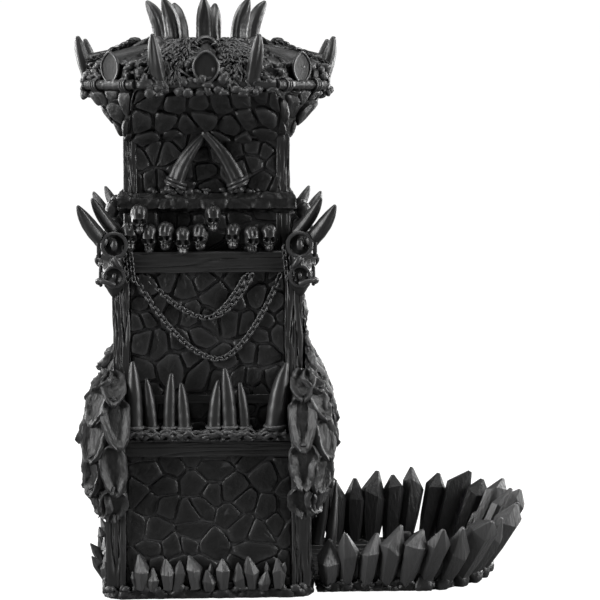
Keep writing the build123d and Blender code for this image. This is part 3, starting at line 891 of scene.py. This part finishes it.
def build_walls():
    """Stones on the four faces of each storey."""
    lower = "lower", BASE, -LOWER_LOW.y, LOWER_HIGH.x, LOWER_LOW.z, LOWER_HIGH.z
    middle = "middle", MIDDLE, -MIDDLE_LOW.y, MIDDLE_HIGH.x, MIDDLE_LOW.z, MIDDLE_HIGH.z
    upper = "upper", UPPER, UPPER_FACE, extent("upper_spigot")[1].x + 1, MIDDLE_DECK_TOP, UPPER_POSTS.z + 2
    lower_look = dict(size=8.2, gap=0.35, rise=1.0, dome=0.004)
    middle_look = dict(size=7.6, gap=0.7, rise=1.6, dome=0.02, missing=0.22)
    upper_look = dict(size=6.6, gap=0.6, rise=1.3, dome=0.04)
    storeys = (lower, lower_look), (middle, middle_look), (upper, upper_look)
    for number, ((name, body, reach, half, foot, top), look) in enumerate(storeys, 1):
        face = facet(reach, foot, 2 * half, reach, top, 2 * half)
        for side in SIDES:
            rng = random.Random(100 * number + side)
            has_arch = name == "lower" and side == FRONT
            shape = Shape(TURN[side])
            stone_face(shape, face, rng=rng, skip=over_arch if has_arch else None, **look)
            if has_arch:
                arch_blocks(shape, face[0], rng)
            piece(f"{name}_stones_{SIDE_NAMES[side]}", shape, body, "stone", 38)


def timber_box(shape, low, high, seed, split):
    """A split log that fills a box, drawn along the box's longest side."""
    size = high - low
    start = (low + high) / 2
    end = start.copy()
    axis = max(range(3), key=lambda k: size[k])
    start[axis], end[axis] = low[axis], high[axis]
    wide, deep = [k for k in range(3) if k != axis]
    side = Vector([1.0 if k == deep else 0.0 for k in range(3)])
    timber(shape, start, end, side, size[wide], size[deep], seed, split)


HEAD_BEAM_GROWTH = 0.9


def build_timbers():
    """Split logs in place of the posts and beams."""
    plan = (
        ("lower_posts", BASE, 0.8), ("lower_beams", BASE, 0.6), ("middle_posts", MIDDLE, 0.9),
        ("middle_sill_beams", MIDDLE, 0.45), ("middle_head_beams", MIDDLE, 0.65),
        ("upper_posts", UPPER, 0.6),
    )
    growth = vec(HEAD_BEAM_GROWTH, HEAD_BEAM_GROWTH, 0)
    for number, (node, body, split) in enumerate(plan, 1):
        shape = Shape()
        for k, points in enumerate(solids_of(node)):
            low, high = box_of(points)
            if node == "middle_head_beams":
                low, high = low - growth, high + growth
                high.z = MIDDLE_DECK_TOP + 0.4
            timber_box(shape, low, high, 11.3 * number + 3.7 * k, split)
        piece(node + "_split", shape, body, "timber", 50, node)


# Node, body, growth in radius, how far foot and tip move inwards, and the look of its tusks
TUSKS = (
    ("ledge_tusks", BASE, 1.12, 0, 0, dict(taper=3.6, point=0.8, groove=0.03)),
    ("beast_horns", MIDDLE, 0.96, 2.6, 0.4, dict(taper=3.6, point=0.7, groove=0.2, seam=0.12)),
    ("arch_tusks", UPPER, 1.08, 0, 0, dict(taper=1.4, point=1.4, groove=0.3)),
    ("rim_horns", UPPER, 0.92, 1.4, 0.6, dict(taper=4.6, point=0.95, groove=0.26)),
    ("mouth_horns", UPPER, 0.98, 1.2, 1.0, dict(taper=4.4, point=0.9, seam=0.3, groove=0.26)),
    ("gate_tusks", TRAY, 1.0, 0, 0, dict(taper=1.8, point=0.4, groove=0.08)),
)


def build_tusks():
    """Grown tusks and horns on the axes of the plain ones. Those of the blind windows have cords."""
    for node, body, swell, foot_in, tip_in, look in TUSKS:
        shape = Shape()
        for points in solids_of(node):
            foot, middle, tip, radius = spine_of(points)
            inward = -vec(foot.x, foot.y, 0).normalized()
            bent = middle + inward * (foot_in + tip_in) / 2
            tusk(shape, foot + inward * foot_in, bent, tip + inward * tip_in, radius * swell, **look)
            axis = (middle - foot).normalized()
            for up, size in ((0.8, 1.2), (2.3, 1.12)) if node == "arch_tusks" else ():
                cord(shape, foot + axis * up, axis, radius * size, 0.8)
        piece(node + "_grown", shape, body, "horn", 60, node)


# Lower storey
def folds(shape, path, thickness, seed):
    """A fold of tissue along a line of points: a soft tube that swells and shrinks."""
    rings = []
    for k, spot in enumerate(path):
        along = (path[min(k + 1, len(path) - 1)] - path[max(k - 1, 0)]).normalized()
        across, beside = frame_along(along, UP)
        ring = []
        for c, s in circle(10):
            swell = (1 + 0.7 * wave(spot.x * 0.55, c, seed)) * (1 + 0.35 * wave(spot.x * 1.6, 2 * s, seed))
            ring.append(spot + (across * c + beside * s) * thickness * swell)
        rings.append(ring)
    shape.skin(rings)


def gum_ribbon(shape, feet, seed):
    """Folded gum that runs along one ledge and bulges round the foot of each tusk."""
    low, high = extent("ledge_gums")
    for level, (up, out, thickness) in enumerate(((0.3, 0.2, 1.0), (1.9, -0.5, 0.8), (1.1, 0.8, 0.7))):
        path = []
        for x in [-31 + 0.5 * k for k in range(125)]:
            swell = 0.9 * max(exp(-((x - foot.x) / (radius + 1.2)) ** 4) for foot, radius in feet)
            y = low.y + 1.3 - out - swell + 0.5 * wave(x * 0.5, level, seed)
            z = high.z - 2.6 + up + swell + 1.5 * wave(x * 0.33, 3 * level, seed + 4)
            path.append(vec(x, y, z))
        folds(shape, path, thickness, seed + level)


def build_ledge():
    """The gums that the row of tusks on each long ledge stands in."""
    weathered("ledge_gums", "scale", 0.45, 0.9, 2.2, 3.1, chips=0.5)
    ribbons, collars = Shape(), Shape()
    spines = [spine_of(points) for points in solids_of("ledge_tusks")]
    for side in SIDES:
        feet = zip(turned_back([spine[0] for spine in spines], side), [spine[3] for spine in spines])
        feet = [(foot, radius) for foot, radius in feet if foot.y < -MIDDLE_HIGH.x]
        ribbons.matrix = collars.matrix = TURN[side]
        if feet:
            gum_ribbon(ribbons, feet, 5.3 * side)
        for foot, radius in feet:
            cord(collars, foot + UP * 1.1, UP, radius + 0.5, 0.75)
    piece("ledge_gum_folds", ribbons, BASE, "scale", 70)
    piece("ledge_gum_collars", collars, BASE, "scale", 70)


SCALE_REACH = 12.2
SCALE_RISE = 30
SCALE_WIDTH = 12.6
SCALE_LENGTH = 22
SCALE_ROWS = 4
SCALE_LIFT = 2.9


def bulge_place(centre, edge):
    """Places points on the bulge of scales around a corner: turn, angle from the top, out.

    The bulge ends at the edge on both walls, and leaves room for the storey above.
    """

    def place(turn, polar, h):
        d = vec(sin(polar) * cos(turn), sin(polar) * sin(turn), cos(polar))
        pinch = 1 - 0.14 * max(0.0, d.z)
        point = centre + stretched(d, (SCALE_REACH * pinch, SCALE_REACH * pinch, SCALE_RISE))
        point += stretched(d, (1 / SCALE_REACH, 1 / SCALE_REACH, 1 / SCALE_RISE)).normalized() * h
        point.x, point.y = max(point.x, edge), max(point.y, edge)
        if point.z > DECK_TOP - 1 and max(point.x, point.y) < FOOTPRINT:
            point[0 if point.x > point.y else 1] = FOOTPRINT
        return point

    return place


def leaf_place(spread, turn, polar):
    """Places points on a scale that hangs down the bulge from its upper end."""

    def place(u, v, h):
        angle = polar + v / (SCALE_RISE * 0.95)
        around = SCALE_REACH * max(0.5, sin(min(angle, pi - 0.5)))
        return spread(turn + u / around, min(angle, pi - 0.12), h)

    return place


def build_corner_scales():
    """Layers of scales that wrap each corner, some with a spike."""
    for corner, name in enumerate(CORNER_NAMES):
        node = "scales_" + name
        rng = random.Random(500 + corner)
        low, high = box_of(turned_back(points_of(node), corner))
        reach = SCALE_REACH + SCALE_LIFT
        centre = vec(high.x - reach, high.y - reach, (low.z + high.z) / 2)
        core = bulge_place(centre, low.x - 0.4)
        polars = [0.03 + (pi - 0.06) * t for t in shares(24)]
        shape = Shape(TURN[corner])
        shape.skin([[core(pi * k / 18, polar, -1.0) for k in range(36)] for polar in polars])
        spikes = []
        for column, degrees in enumerate((-3, 45, 93)):
            rows = SCALE_ROWS + column % 2
            for row in reversed(range(rows)):
                turn = radians(degrees + rng.uniform(-5, 5))
                width = SCALE_WIDTH * rng.uniform(0.88, 1.04)
                length = SCALE_LENGTH * rng.uniform(0.92, 1.08) * SCALE_ROWS / rows
                spread = bulge_place(centre, low.x - rng.uniform(2, 3.2))
                place = leaf_place(spread, turn, 0.2 + 1.95 * row / (rows - 1))
                leaf(shape, place, width, length, rng, 1.7, 1.5)
                spikes.append((place(0, length * 0.8, 0.5), place(0, length * 0.84, 3.6)))
        for foot, tip in rng.sample(spikes, 5):
            tusk(shape, foot, (foot + tip) / 2, tip, 0.8, 8, 6, 1.0, 0.15)
        piece(node + "_layered", shape, BASE, "scale", 50, node)


def build_hood():
    """Scales on the canopy over the arch."""
    rng = random.Random(61)
    points = turned_back(points_of("exit_hood"), FRONT)
    edge = sorted({(round(-p.y, 1), round(p.z, 1)) for p in points}, key=lambda q: -q[1])
    edge = [Vector(q) for q in edge if q[0] > FOOTPRINT - 0.5 and q != (round(CORE, 1), round(DECK_TOP, 1))]
    profile = [q for q in edge if q.x > CORE + 0.3 or q.y > DECK_TOP + 20 or q.y < DECK_TOP - 2]
    lengths = [0]
    for a, b in zip(profile, profile[1:]):
        lengths.append(lengths[-1] + (b - a).length)
    total = lengths[-1]

    def place(u, v, h):
        v = max(0, min(total - 0.01, v))
        k = next(j for j in range(len(profile) - 1) if lengths[j + 1] > v)
        a, b = profile[k], profile[k + 1]
        along = (b - a).normalized()
        spot = a.lerp(b, (v - lengths[k]) / (b - a).length) + vec(-along.y, along.x) * h
        return vec(u, -max(FOOTPRINT, spot.x), spot.y)

    shape = Shape(TURN[FRONT])
    for row in range(6):
        widest = 27 * min(1.0, 0.35 + 0.22 * row)
        for k in range(8):
            middle = (k - 3.5 + 0.5 * (row % 2)) * 8 + rng.uniform(-0.8, 0.8)
            if abs(middle) < widest:
                spread = shifted(place, middle, 0.16 * row * total, -1.0)
                leaf(shape, spread, 11, total * 0.26, rng, 0.5, 1.4)
    piece("exit_hood_scales", shape, BASE, "scale", 50)
    weathered("exit_hood", "scale", 0.7, 0.5, 3.0, 7.7, shrink=0.9)


def build_foot():
    """The weathered plinth with large and small crystals and rubble on it."""
    rng = random.Random(71)
    shape = Shape()
    for points in solids_of("foot_crystals"):
        foot, _, tip, _ = spine_of(points)
        crystal(shape, foot, tip, 1.22 * girth(points, foot, (tip - foot).normalized()), rng, 0.7, cap=1.7)
    piece("foot_crystals_cut", bevelled(shape, 0.16), BASE, "crystal", 25, "foot_crystals")
    weathered("plinth", "stone", 0.8, 0.7, 3.4, 8.2, chips=0.6, floor=0.0)
    face = extent("foot_crystals")[0].y
    plinth_face = -extent("plinth")[1].y
    extra, rubble = Shape(), Shape()
    for side in (RIGHT, LEFT, REAR):
        extra.matrix = rubble.matrix = TURN[side]
        for k in range(9):
            foot = vec(7.4 * (k - 4) + rng.uniform(-1.5, 1.5), face + 3.6, 3)
            tip = foot + vec(rng.uniform(-2.4, 2.4), rng.uniform(-1.6, 0.1), rng.uniform(7, 12))
            crystal(extra, foot, tip, rng.uniform(1.3, 1.7), rng, 0.7)
        where = (-40, 40), (plinth_face + 0.8, plinth_face + 3.0), (3.4, 4.4)
        scatter(rubble, rng, 34, where, ((1.2, 2.8), (0.9, 1.7), (1.0, 2.6)))
        for k in range(7) if side == REAR else ():
            foot = vec(9 * (k - 3) + rng.uniform(-2, 2), face + 1.8, 4)
            tip = foot + vec(rng.uniform(-2, 2), rng.uniform(-6.5, -5), rng.uniform(9, 14))
            crystal(extra, foot, tip, rng.uniform(1.9, 2.4), rng, 0.7)
    piece("foot_crystals_small", bevelled(extra, 0.14), BASE, "crystal", 25)
    piece("foot_rubble", rubble, BASE, "stone", 70)


# Middle storey
def build_skulls():
    """A carved skull in place of each plain one."""
    for side in SIDES:
        node = "skulls_" + SIDE_NAMES[side]
        rng = random.Random(600 + side)
        shape = Shape(TURN[side])
        for points in solids_of(node):
            low, high = box_of(turned_back(points, side))
            skull = small_skull(rng)
            size = rng.uniform(0.94, 1.06)
            turn = Matrix.Rotation(rng.uniform(-0.45, 0.45), 4, "Z")
            nod = Matrix.Rotation(rng.uniform(-0.16, 0.1), 4, "X")
            spot = vec((low.x + high.x) / 2, low.y + 2.9, high.z - 3.9)
            growth = Matrix.Diagonal((1.28 * size, 1.15 * size, 1.14 * size, 1))
            shape.join(skull, Matrix.Translation(spot) @ turn @ nod @ growth)
        piece(node + "_carved", shape, MIDDLE, "skull", 60, node)


def build_beasts():
    """The broad skulls on the corners."""
    for corner, name in enumerate(CORNER_NAMES):
        node = "beast_skull_" + name
        high = box_of(turned_back(points_of(node), corner))[1]
        place = TURN[corner] @ Matrix.Translation(high - vec(6.9, 6.9, 8.6)) @ turn_z(135)
        piece(node + "_carved", Shape().join(beast_skull(), place), MIDDLE, "skull", 60, node)


def build_chains():
    """Two hanging chains on each face, a few loose ends, and chains wrapped around the head beam."""
    beam = extent("middle_head_beams")[0]
    top = beam.z - 0.6
    face = MIDDLE_LOW.y - 1.4
    out = vec(0, -1, 0)
    one = Shape()
    upper_line = hanging(
        vec(-25, face, top), vec(0, face - 0.4, top - 17.6), vec(16.5, face - 0.9, top))
    lowest = vec(4, face - 0.9, extent("wall_chains")[0].z + 1)
    lower_line = hanging(vec(-29.4, face - 0.3, top), lowest, vec(29.4, face - 0.3, top))
    loose = [[p + vec(shift, -0.9, 0.3 * shift) for p in upper_line[-14:]] for shift in (1.7, -1.2)]
    for line in (upper_line, lower_line, *loose):
        chain(one, line, out)
    for x in (-33.0, -30.6, 30.6, 33.0):
        start = vec(x, beam.y - HEAD_BEAM_GROWTH - 0.3, MIDDLE_DECK_TOP + 1.5)
        chain(one, [start + vec(0.1 * k, 0, -k) for k in range(14)], out, 3.4, 2.5, 0.8)
    shape = Shape()
    for side in SIDES:
        shape.join(one, TURN[side])
    piece("wall_chain_links", shape, MIDDLE, "chain", 70, "wall_chains")


# Upper storey and crown
def build_cornice():
    """The ledge with its rubble."""
    weathered("cornice", "stone", 0.5, 0.55, 4.2, 4.4, chips=0.9)
    rng = random.Random(81)
    top = extent("cornice")[1].z
    rubble = Shape()
    for side in (RIGHT, LEFT):
        rubble.matrix = TURN[side]
        where = (-25, 25), (-UPPER_FACE - 0.5, -UPPER_FACE - 3.6), (top - 0.4, top + 0.9)
        scatter(rubble, rng, 26, where, ((0.9, 2.2), (0.8, 1.5), (0.7, 1.5)))
        for foot_x in (-13.2, 13.2):
            where = about(foot_x, 3.4), (-UPPER_FACE - 2.1, -UPPER_FACE - 4.2), top + 0.8
            scatter(rubble, rng, 7, where, ((1.0, 1.9),) * 3)
    piece("cornice_rubble", rubble, UPPER, "stone", 70)


CROWN_REACH = -extent("parapet")[0].y
CROWN_DIAGONAL = max((p.x + p.y) / sqrt(2) for p in points_of("parapet"))
CORNER_WIDTH = sqrt(2) * (2 * CROWN_REACH - sqrt(2) * CROWN_DIAGONAL)
FACE_WIDTH = 2 * CROWN_REACH - sqrt(2) * CORNER_WIDTH
EIGHTH = [turn_z(45 * k) for k in range(8)]


def crown_faces():
    """Number, distance from the axis and width of the crown's eight faces."""
    for k in range(8):
        yield (k, CROWN_DIAGONAL, CORNER_WIDTH) if k % 2 else (k, CROWN_REACH, FACE_WIDTH)


def build_flare():
    """The cobbles of the flared crown and of the parapet above it."""
    shape = Shape()
    for k, reach, width in crown_faces():
        rng = random.Random(700 + k)
        foot_reach, foot_width = (UPPER_POSTS.x * 1.39, 4) if k % 2 else (UPPER_POSTS.x, 2 * UPPER_POSTS.x)
        bottom = FLARE_LOW.z - (2.5 if k % 4 == RIGHT else 0)
        face = facet(foot_reach - 2.4, bottom, foot_width, reach - 0.3, FLARE_HIGH.z, width + 0.6)

        def hangs(cell, rng=rng):
            return max(p.y for p in cell) < 6 and rng.random() < 0.5

        shape.matrix = EIGHTH[k]
        stone_face(shape, face, 9.6, rng, 0.6, 1.7, 0.16, hangs, 0.12, 0.22)
        rail = facet(reach - 0.6, FLARE_HIGH.z, width, reach - 0.8, PARAPET_HIGH.z, width)
        stone_face(shape, rail, 5.2, rng, 0.6, 1.3, 0.14, soft=0.2)
    piece("crown_cobbles", shape, UPPER, "stone", 45)


def build_roof():
    """Cobbles all over the roof, with mats of straw on its four wide faces."""
    cobbles, straw = Shape(), Shape()
    eaves, top = PARAPET_HIGH.z + 0.3, extent("roof_slab")[1].z + 0.3
    ridge = RING_HIGH.x + 0.6
    for k, reach, width in crown_faces():
        rng = random.Random(800 + k)
        slope = facet(reach - 0.5, eaves, width, ridge, top, 0.84 * ridge)
        cobbles.matrix = straw.matrix = EIGHTH[k]
        stone_face(cobbles, slope, 5.4, rng, 0.4, 1.6, 0.14, soft=0.2)
        fringe, drop, _ = facet(reach + 0.9, eaves - 4.5, width, reach + 0.4, eaves + 2.0, width)
        for across in () if k % 2 else (-15, 15):
            thatch(straw, shifted(slope[0], across, out=1.4), 14, slope[1] * 0.92, 300, rng)
            thatch(straw, shifted(fringe, across), 12, drop, 110, rng)
    piece("roof_cobbles", cobbles, UPPER, "stone", 45, "roof_slab")
    piece("roof_straw", straw, UPPER, "thatch", 80, "roof_thatch")


LOG_HALF, LOG_TALL = 5.4, 6.6


def log_end(shape, inner, outer, seed):
    """A log with bark that ends in a flat oval with a raised rim. The oval's top and bottom are pointed."""
    axis = (outer - inner).normalized()
    face, across = flat_frame(axis.x, axis.y)
    oval = [
        across * LOG_HALF * copysign(0.55 * abs(s) + 0.45 * s * s, s) + UP * LOG_TALL * c
        for c, s in circle(28)
    ]
    rings = []
    for t in shares(16):
        ring = []
        for k, p in enumerate(oval):
            bark = 0.5 * wave(k * 0.9, t * 3, seed) * (1 - t**6)
            ring.append(inner.lerp(outer, t) + p * (0.5 + 0.5 * t) * (0.91 + bark / LOG_HALF))
        rings.append(ring)
    for size, out in ((0.99, 0.1), (1.0, 0.7), (0.93, 1.0), (0.86, 0.85), (0.83, 0.3)):
        rings.append([outer + face * out + p * size for p in oval])
    shape.skin(rings)


def build_rafters():
    """The logs under the roof, with an arched rib over each one's inner end."""
    shape = Shape()
    logs = sorted(solids_of("rafters"), key=lambda g: atan2(*box_of(g)[0].yx))
    for k, points in enumerate(logs):
        low, high = box_of(points)
        out, across = flat_frame(low.x + high.x, low.y + high.y)
        diagonal = abs(abs(out.x) - abs(out.y)) < 0.5
        reach = max(p.dot(out) for p in points) + (-0.1 if diagonal else 1.6)
        inner = out * (RING_HIGH.x - 1.5) + UP * (RING_HIGH.z - 2.5)
        log_end(shape, inner, out * reach + UP * (low.z + 6.4), 3.3 * k)
        foot = out * (RING_HIGH.x + 6.5) + UP * (RING_HIGH.z - 5.5)
        rings = []
        for t in shares(14):
            c, s = cos(pi * t), sin(pi * t)
            spot = foot + across * 4.6 * c + UP * 6.2 * s
            rings.append([spot + (across * c + UP * s) * x + out * 2.6 * y for x, y in circle(8)])
        shape.skin(rings)
    piece("rafters_hewn", shape, UPPER, "timber", 45, "rafters")


POLE_RADIUS = 1.9


def rim_pole(shape, half, y, z, side):
    """One worn pole along the rim."""
    rings = []
    for x in [half * (2 * t - 1) for t in shares(60)]:
        size = POLE_RADIUS * (1 + 0.14 * wave(x * 0.16, side, 3) + 0.1 * wave(x * 0.7, side, 9))
        rings.append([
            vec(x, y + c * size * (1 + 0.12 * wave(k * 0.8, x * 0.05, side)), z + s * size)
            for k, (c, s) in enumerate(circle(20))
        ])
    shape.skin(rings)


def rim_rubble(shape, side, reach, width, z, rng):
    """Rubble around the poles of one face. The wide faces have a heap over the pole as well."""
    edge = width / 2
    for _ in range(round(0.8 * width)):
        x, height = rng.uniform(-edge, edge), rng.uniform(FLARE_HIGH.z + 3, PARAPET_HIGH.z + 2)
        if side % 2 == 0 or abs(x) >= 7:
            scatter(shape, rng, 1, (x, (-reach - 0.2, -reach - 2.4), height), ((1.0, 2.4),) * 3)
    if side % 2 == 0:
        where = about(0, edge), (-reach - 2.0, -reach - 4.0), (z - 3.6, z + 3.2)
        scatter(shape, rng, 54, where, ((1.4, 2.9), (1.0, 1.6), (1.2, 2.3)))
        for foot_x in (-17.4, 17.4):
            where = about(foot_x, 2.6), (-reach - 2.0, -reach - 4.6), (z - 1.5, z - 4.4)
            scatter(shape, rng, 6, where, ((1.3, 2.1),) * 3)
    where = about(0, edge), (-reach - 1.0, -reach + 2.5), (PARAPET_HIGH.z, PARAPET_HIGH.z + 1.8)
    scatter(shape, rng, round(0.7 * width), where, ((1.2, 2.6), (1.2, 2.4), (0.8, 1.8)))


def build_rim():
    """Poles, cords and rubble along the rim of the crown."""
    low, high = extent("rim_poles")
    z = (low.z + high.z) / 2
    poles, ties, rubble = Shape(), Shape(), Shape()
    for side, reach, width in crown_faces():
        y = -reach - POLE_RADIUS
        poles.matrix = ties.matrix = rubble.matrix = EIGHTH[side]
        rim_pole(poles, width / 2 + 0.6, y, z, side)
        for x in (-8.5, 8.5) if side % 2 else ():
            for k in (-1, 0, 1):
                axis = vec(1, 0.12 * k, 0).normalized()
                cord(ties, vec(x + 0.95 * k, y + 0.1, z), axis, POLE_RADIUS + 0.45, 0.55)
        rim_rubble(rubble, side, reach, width, z, random.Random(900 + side))
    piece("rim_poles_worn", poles, UPPER, "timber", 60, "rim_poles")
    piece("pole_cords", ties, UPPER, "chain", 80, "pole_ties")
    piece("crown_rubble", rubble, UPPER, "stone", 60)


def build_mouth():
    """The ring around the mouth and its rubble."""
    weathered("mouth_ring", "stone", 0.5, 0.9, 2.8, 6.6, chips=0.8)
    rng = random.Random(91)
    rubble = Shape()
    for k in range(64):
        angle = 2 * pi * k / 64 + rng.uniform(-0.05, 0.05)
        reach = rng.uniform(20.5, 25.5)
        where = reach * cos(angle), reach * sin(angle), (RING_HIGH.z - 2.4, RING_HIGH.z + 0.6)
        scatter(rubble, rng, 1, where, ((1.1, 2.3), (1.1, 2.3), (0.8, 1.7)))
    piece("mouth_rubble", rubble, UPPER, "stone", 60)


# Tray
def build_tray():
    """The dish's rim with its fence of crystals."""
    rng = random.Random(95)
    weathered("tray_rim", "stone", 0.7, 0.8, 3.0, 2.2, chips=0.5, floor=0.0)
    spines = [(points, *spine_of(points)) for points in solids_of("fence_crystals")]
    spines.sort(key=lambda spine: atan2(*(spine[1] - vec(TRAY_HIGH.x / 2, 0, 0)).yx))
    fence, far_fence, small, lumps = Shape(), Shape(), Shape(), Shape()
    for points, foot, _, tip, _ in spines:
        radius = girth(points, foot, (tip - foot).normalized())
        # The far row of the fence gets the darker copy of the crystal finish: painted shade where the near
        # row blocks the light.
        is_far = foot.y > TRAY_HIGH.y / 2
        width = radius * rng.uniform(1.0, 1.2) * (1.22 if is_far else 1.1)
        crystal(far_fence if is_far else fence, foot, tip, width, rng, 0.5, 0.16, rng.uniform(1.0, 1.9))
        out, beside = flat_frame(max(0, foot.x - TRAY_HUB.x), foot.y)
        spot = foot + beside * 4.1 - out * 1.4
        if spot.x > TRAY_LOW.x + 3 and (spot.y < 0 or rng.random() < 0.4):
            lean = (tip - foot) * rng.uniform(0.45, 0.68)
            end = spot + lean + beside * rng.uniform(-3, 3)
            crystal(small, spot, end, radius * rng.uniform(0.5, 0.7), rng, 0.6)
        if foot.x > (TRAY_LOW.x + TRAY_HIGH.x) / 2:
            place = foot + out * 1.2
            place.z = 2.6
            rock(lumps, place, (4.2, 4.0, rng.uniform(4.8, 6.4)), rng, BALL)
            continue
        for _ in range(3):
            place = foot + out * rng.uniform(0.6, 1.6) + beside * rng.uniform(-3.4, 3.4)
            scatter(lumps, rng, 1, (place.x, place.y, (3.0, 4.8)), ((1.2, 2.2), (1.2, 2.0), (0.9, 1.6)))
    for p in lumps.points:
        p.z = max(0.0, p.z)
    piece("fence_crystals_cut", bevelled(fence, 0.22), TRAY, "crystal", 25, "fence_crystals")
    piece("fence_crystals_far", bevelled(far_fence, 0.22), TRAY, "crystal_painted_shade", 25)
    piece("fence_crystals_small", bevelled(small, 0.16), TRAY, "crystal", 25)
    piece("fence_rocks", lumps, TRAY, "stone", 60)


def build_planks():
    """Thin boards on the tray's floor, cut to its outline."""
    rng = random.Random(97)
    high = extent("tray_floor")[1]
    radius = high.y - 0.4
    shape = Shape()
    count, gap = 9, 0.25
    for k in range(count):
        y0, y1 = [radius * (2 * j / count - 1) for j in (k, k + 1)]
        y0, y1 = y0 + gap, y1 - gap
        end = TRAY_HUB.x + sqrt(max(0.0, radius**2 - max(abs(y0), abs(y1)) ** 2))
        corner = vec(end, y1, high.z + rng.uniform(0.35, 0.6) + 0.3)
        timber_box(shape, vec(TRAY_LOW.x + 0.5, y0, high.z - 0.4), corner, 5.1 * k, 0.16)
    piece("tray_boards", shape, TRAY, "timber", 50)


# Everything
for build in (
    build_walls, build_timbers, build_tusks, build_ledge, build_corner_scales, build_hood, build_foot,
    build_skulls, build_beasts, build_chains, build_cornice, build_flare, build_roof, build_rafters,
    build_rim, build_mouth, build_tray, build_planks,
):
    build()

PLAIN_WALLS = [n for n in frame["nodes"] if "_wall_" in n] + ["upper_walls", "crown_flare", "parapet"]
PLAIN_BOARDS = (
    "lower_deck", "middle_deck", "middle_spigot", "upper_spigot", "exit_ramp", "middle_ramp", "upper_ramp",
    "tray_floor",
)
for finish, names in ("stone", PLAIN_WALLS), ("timber", PLAIN_BOARDS):
    for item in [frame["nodes"][name] for name in names]:
        item.data.materials.clear()
        item.data.materials.append(FINISH[finish])


# Floor, light and camera
def for_camera(tree, dim, bright):
    """A value that is bright where the camera looks straight at it, and dim in all other light."""
    seen = shader(tree, "LightPath", "Is Camera Ray")
    return shader(tree, "MapRange", Value=seen, To_Min=dim, To_Max=bright)


def pale_floor():
    """A pale sheet that turns up behind the object."""
    material = bpy.data.materials.new("pale_floor")
    material.use_nodes = True
    tree = material.node_tree
    feed(
        tree, tree.nodes["Principled BSDF"], Base_Color=grey(0.12), Roughness=0.9, Specular_IOR_Level=0.1,
        Emission_Color=grey(1), Emission_Strength=for_camera(tree, 0.02, 1.0),
    )
    half, back, bend, height = 3.0, 1.6, 0.8, 3.0
    angles = [pi / 2 * t for t in shares(12)]
    curve = [(back + bend * sin(a), bend * (1 - cos(a))) for a in angles]
    line = [(-half, 0.0), *curve, (back + bend, height)]
    mesh = bpy.data.meshes.new("sheet")
    faces = [(2 * k, 2 * k + 1, 2 * k + 3, 2 * k + 2) for k in range(len(line) - 1)]
    mesh.from_pydata([(x, y, z) for y, z in line for x in (-half, half)], [], faces)
    mesh.materials.append(material)
    add_item("sheet", mesh)


def aimed(name, data, place, aim):
    """Adds a light or camera that looks at a point."""
    item = add_item(name, data)
    item.location = place
    item.rotation_euler = (Vector(aim) - Vector(place)).to_track_quat("-Z", "Y").to_euler()
    return item


# Name, place, width and height in metres, and watts
SOFTBOXES = (
    ("left_softbox", (-0.85, -0.4, 0.3), 0.3, 0.9, 14),
    ("right_softbox", (0.9, -0.4, 0.3), 0.3, 0.9, 14),
    ("left_rim", (-0.7, 0.5, 0.3), 0.3, 0.8, 12),
    ("right_rim", (0.75, 0.5, 0.3), 0.3, 0.8, 12),
    ("top_softbox", (0.0, -0.05, 1.0), 0.7, 0.5, 9),
)
LIGHT_AIM = (0.0, 0.0, 0.12)


def studio_light():
    """A tall light on each side, in front of the object's sides, and a broad one above."""
    for name, place, width, height, watts in SOFTBOXES:
        light = bpy.data.lights.new(name, "AREA")
        light.shape = "RECTANGLE"
        light.size, light.size_y = width, height
        light.energy = watts
        aimed(name, light, place, LIGHT_AIM)
    world = bpy.data.worlds.new("studio")
    bpy.context.scene.world = world
    world.use_nodes = True
    tree = world.node_tree
    feed(tree, tree.nodes["Background"], Color=grey(1), Strength=for_camera(tree, 0.025, 1.0))
    bpy.context.scene.view_settings.view_transform = "Standard"


CAMERA_PLACE = vec(2.4, -742, 205) * MM
CAMERA_AIM = vec(36.8, -42, 121.4) * MM


def make_camera():
    data = bpy.data.cameras.new("camera")
    data.lens = 106.3
    data.sensor_width = 36
    data.clip_start, data.clip_end = 0.05, 20
    bpy.context.scene.camera = aimed("camera", data, CAMERA_PLACE, CAMERA_AIM)


pale_floor()
studio_light()
make_camera()
